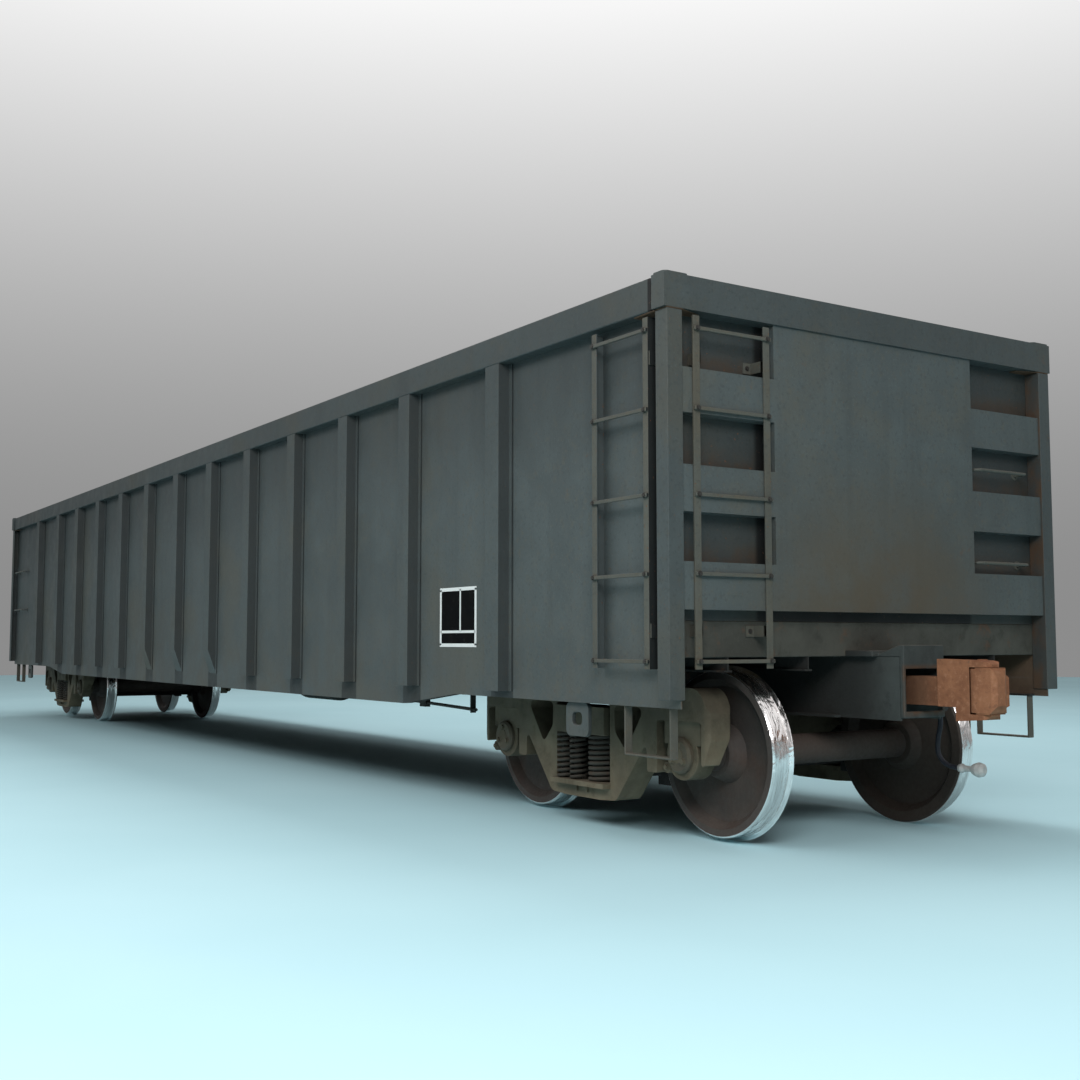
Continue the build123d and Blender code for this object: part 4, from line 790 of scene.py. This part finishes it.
# Keeper bolts, each on a boss low beside a bearing
KEEPER_PLACE = (0.128, -0.074)   # from the axle, along and up
KEEPER_BOSS, KEEPER_BOSS_SUNK = [(0.034, 0.036, 20), (0.027, 0.004, 20)], 0.03
KEEPER_BOLT, KEEPER_BOLT_FOOT = 0.016, 0.04
for tag, middle in TRUCKS.items():
    shape = bmesh.new()
    for axle, x in AXLES.items():
        if not axle.startswith(tag):
            continue
        for side in SIDES:
            along, up = KEEPER_PLACE
            at = Vector((x + side * along, side * (BEARING_FACE - KEEPER_BOSS_SUNK), AXLE_LEVEL + up))
            turned(shape, at, (0, side, 0), KEEPER_BOSS)
            bolt(shape, at + Vector((0, side * KEEPER_BOLT_FOOT, 0)), (0, side, 0), KEEPER_BOLT)
    piece(f"keeper_bolts_{tag}", shape, bearing_cast, f"truck_{tag}")

# Ladders: bolts at the ends of the rungs
RUNG_LEVELS = (1.030, 1.485, 1.900, 2.355, 2.780)
SIDE_RUNG_ENDS, SIDE_RUNG_FACE, SIDE_RUNG_BOLT = (7.532, 7.997), 1.584, 0.0115
END_RUNG_ENDS, END_RUNG_FACE, END_RUNG_BOLT = (0.883, 1.377), 8.1985, 0.012
shape = bmesh.new()
for corner in CORNERS:
    for level in RUNG_LEVELS:
        for x in SIDE_RUNG_ENDS:
            at = Vector((corner * x, -corner * SIDE_RUNG_FACE, level))
            bolt(shape, at, (0, -corner, 0), SIDE_RUNG_BOLT)
        for y in END_RUNG_ENDS:
            at = Vector((corner * END_RUNG_FACE, -corner * y, level))
            bolt(shape, at, (corner, 0, 0), END_RUNG_BOLT)
piece("ladder_bolts", shape, bolt_steel, "carbody")

# Ladder brackets: bent plates from the stiles to the wall, with a bolt in each foot
BRACKET_LEVELS = (1.19, 2.63)
BRACKET_BOLT = 0.011
BRACKET_PLATE = 0.008         # thickness
BRACKET_FACE = BRACKET_PLATE - SEATED
SIDE_STILES = ((7.509, -1), (8.02, 1))   # outer edge along the car, and the way to the bracket's foot
SIDE_BRACKET_TALL, SIDE_FOOT, SIDE_LEG, SIDE_LEG_MIDDLE = 0.075, 0.052, 0.066, 0.036
END_STILES = ((0.86, 1), (1.4, -1))      # outer edge across the car, and the way to the bracket's foot
END_BRACKET_TALL, END_TIP, END_LEG, END_FOOT = 0.06, 0.05, 0.01, 0.056
END_REACHES = (0.03, 0.05, 0.081)        # from the stile's edge to the middles of tip, leg and foot
plates = bmesh.new()
shape = bmesh.new()
for corner in CORNERS:
    for level in BRACKET_LEVELS:
        for x, outward in SIDE_STILES:
            foot, leg = [corner * (x + outward * wide / 2) for wide in (SIDE_FOOT, BRACKET_PLATE)]
            foot_size = (SIDE_FOOT, BRACKET_PLATE, SIDE_BRACKET_TALL)
            leg_size = (BRACKET_PLATE, SIDE_LEG, SIDE_BRACKET_TALL)
            block(plates, (foot, -corner * (SIDE_SHEET + BRACKET_PLATE / 2), level), foot_size)
            block(plates, (leg, -corner * (SIDE_SHEET + SIDE_LEG_MIDDLE), level), leg_size)
            at = Vector((foot, -corner * (SIDE_SHEET + BRACKET_FACE), level))
            bolt(shape, at, (0, -corner, 0), BRACKET_BOLT)
        for y, inward in END_STILES:
            tip, leg, foot = [-corner * (y + inward * reach) for reach in END_REACHES]
            leg_size = (LADDER_BACK - END_SHEET, END_LEG, END_BRACKET_TALL)
            tip_size = (BRACKET_PLATE, END_TIP, END_BRACKET_TALL)
            foot_size = (BRACKET_PLATE, END_FOOT, END_BRACKET_TALL)
            block(plates, (corner * (END_SHEET + LADDER_BACK) / 2, leg, level), leg_size)
            block(plates, (corner * (LADDER_BACK - BRACKET_PLATE / 2), tip, level), tip_size)
            block(plates, (corner * (END_SHEET + BRACKET_PLATE / 2), foot, level), foot_size)
            at = Vector((corner * (END_SHEET + BRACKET_FACE), foot, level))
            bolt(shape, at, (corner, 0, 0), BRACKET_BOLT)
piece("ladder_brackets", plates, ladder_paint, "carbody")
piece("bracket_bolts", shape, bolt_steel, "carbody")

# Grab irons: a round foot and a nut where each bar meets the wall
GRAB_LEVELS = (1.618, 2.194)
SIDE_GRAB_ENDS, END_GRAB_ENDS = (7.35, 7.95), (0.87, 1.34)
GRAB_FOOT = [(0.03, 0.007, 20), (0.0165, 0.013, 6)]
shape = bmesh.new()
for corner in CORNERS:
    for level in GRAB_LEVELS:
        for x in SIDE_GRAB_ENDS:
            turned(shape, Vector((corner * x, corner * SIDE_SHEET, level)), (0, corner, 0), GRAB_FOOT)
        for y in END_GRAB_ENDS:
            turned(shape, Vector((corner * END_SHEET, corner * y, level)), (corner, 0, 0), GRAB_FOOT)
piece("grab_feet", shape, ladder_paint, "carbody")

# Couplers: wear plates on the top and foot of each knuckle, and the head of its pin
WEAR_PLATE = 0.0062
TOP_FRONT, FOOT_FRONT = 0.371, 0.356   # where the plates end, on the knuckle's sloped face
WEAR_OUTLINE = [              # from the head's back, and across
    (0.272, -0.113), (0.366, -0.111), (0.394, -0.092), (0.394, -0.028), (0.362, 0.016), (0.332, 0.032),
    (0.312, 0.010), (0.306, -0.020),
]
KNUCKLE_PIN = (0.27, -0.05)
PIN_FOOT = 1.0325
PIN_HEAD = [(0.034, 0.006, 24), (0.027, 0.003, 24)]
for tag, end in (("a", 1), ("b", -1)):
    shape = bmesh.new()
    for low, front in ((KNUCKLE_TOP, TOP_FRONT), (KNUCKLE_FOOT - WEAR_PLATE, FOOT_FRONT)):
        rings = [
            [shape.verts.new((end * (HEAD_BACK + min(u, front)), end * v, z)) for u, v in WEAR_OUTLINE]
            for z in (low, low + WEAR_PLATE)
        ]
        count = len(WEAR_OUTLINE)
        for ring in rings:
            shape.faces.new(ring)
        for n in range(count):
            m = (n + 1) % count
            shape.faces.new((rings[0][n], rings[0][m], rings[1][m], rings[1][n]))
    piece(f"knuckle_wear_plates_{tag}", shape, coupler_rust, f"knuckle_{tag}_body")
    shape = bmesh.new()
    along, across = KNUCKLE_PIN
    turned(shape, Vector((end * (HEAD_BACK + along), end * across, PIN_FOOT)), UP, PIN_HEAD)
    piece(f"knuckle_pin_{tag}", shape, coupler_rust, f"coupler_{tag}_body")

# Blank stencil panels: a black plate with a white frame and bars, one on each side of the car
PANEL_LEFT, PANEL_RIGHT, PANEL_LOW, PANEL_HIGH = 5.632, 6.098, 1.1105, 1.4815
PANEL_FRAME, PANEL_BAR = 0.023, 0.017
PANEL_SKIN = 0.002            # thickness of the plate and of the lines on it
CROSS_BAR, UPRIGHT_BAR = -0.26, 0.07   # from the middle, against the panel's height and width
back = bmesh.new()
lines = bmesh.new()
for side in SIDES:
    wide, tall = PANEL_RIGHT - PANEL_LEFT, PANEL_HIGH - PANEL_LOW
    middle = -side * (PANEL_LEFT + PANEL_RIGHT) / 2
    level = (PANEL_LOW + PANEL_HIGH) / 2
    block(back, (middle, side * (SIDE_SHEET + PANEL_SKIN / 2), level), (wide, PANEL_SKIN, tall))
    over = wide + PANEL_FRAME
    upright = (0.5 - CROSS_BAR) * tall
    bars = [                  # middle along and up, length and height
        (0, tall / 2, over, PANEL_FRAME),
        (0, -tall / 2, over, PANEL_FRAME),
        (-wide / 2, 0, PANEL_FRAME, tall),
        (wide / 2, 0, PANEL_FRAME, tall),
        (0, CROSS_BAR * tall, wide, PANEL_BAR),
        (UPRIGHT_BAR * wide, tall / 2 - upright / 2, PANEL_BAR, upright),
    ]
    for u, v, long, high in bars:
        place = (middle - side * u, side * (SIDE_SHEET + PANEL_SKIN), level + v)
        block(lines, place, (long, PANEL_SKIN, high))
piece("stencil_panels", back, plate_black, "carbody")
piece("stencil_lines", lines, plate_white, "carbody")


# Floor and light
FLOOR_RADIUS, FLOOR_SIDES, FLOOR_ROUGHNESS = 34, 128, 0.8
floor_surface = Surface("pale_floor", specular=0.15)
clouds = floor_surface.spread(floor_surface.noise(0.35, 3), 0.3, 0.7)
floor_tone = floor_surface.mix(clouds, STUDIO_BLUE, STUDIO_PALE)
shape = bmesh.new()
bmesh.ops.create_circle(shape, cap_ends=True, segments=FLOOR_SIDES, radius=FLOOR_RADIUS)
floor_mesh = bpy.data.meshes.new("floor")
shape.to_mesh(floor_mesh)
shape.free()
floor_mesh.materials.append(floor_surface.done(floor_tone, FLOOR_ROUGHNESS))
floor = placed("floor", floor_mesh)

LAMPS = [                     # name, place, aimed at, width and height in metres, power in watts
    ("key", (15.5, -6.8, 6.4), (8.8, -2.6, 0.5), (5.0, 4.0), 720),
    ("fill", (4.0, -12.0, 10.0), (2.5, -1.0, 1.5), (12.0, 5.0), 720),
    ("top", (0.0, 4.0, 13.0), (0.0, -1.0, 0.0), (12.0, 6.0), 820),
    ("far", (-11.0, 12.0, 12.0), (-3.0, 0.5, 1.6), (8.0, 5.0), 420),
]
for name, place, target, (wide, tall), power in LAMPS:
    lamp = bpy.data.lights.new(name, "AREA")
    lamp.shape = "RECTANGLE"
    lamp.size = wide
    lamp.size_y = tall
    lamp.energy = power
    holder = placed(name, lamp)
    holder.location = place
    aim(holder, Vector(target) - Vector(place))

# The studio: grey near the floor and nearly white from about 27 degrees up. The camera and reflections
# see it as it is, and it lights the car more weakly and from above
AMBIENT, LOW_AMBIENT = 0.5, 0.05
HORIZON, ZENITH, CURVE = 0.26, 0.93, 3.3
world = bpy.data.worlds.new("studio")
scene.world = world
world.use_nodes = True
studio = Graph(world.node_tree)
backdrop = world.node_tree.nodes["Background"]
direction = studio.node("ShaderNodeTexCoord").outputs["Generated"]
height = studio.node("ShaderNodeSeparateXYZ", Vector=direction).outputs["Z"]
rise = studio.maths("MAXIMUM", height, 0.0)
grey = studio.maths("ADD", studio.both(studio.both(rise, rise), CURVE), HORIZON)
studio.feed(backdrop.inputs["Color"], studio.maths("MINIMUM", grey, ZENITH))
path = studio.node("ShaderNodeLightPath").outputs
seen = studio.maths("MAXIMUM", path["Is Camera Ray"], path["Is Glossy Ray"])
above = studio.maths("ADD", studio.both(rise, AMBIENT), LOW_AMBIENT)
unseen = studio.both(studio.maths("SUBTRACT", 1.0, seen), above)
studio.feed(backdrop.inputs["Strength"], studio.maths("ADD", seen, unseen))
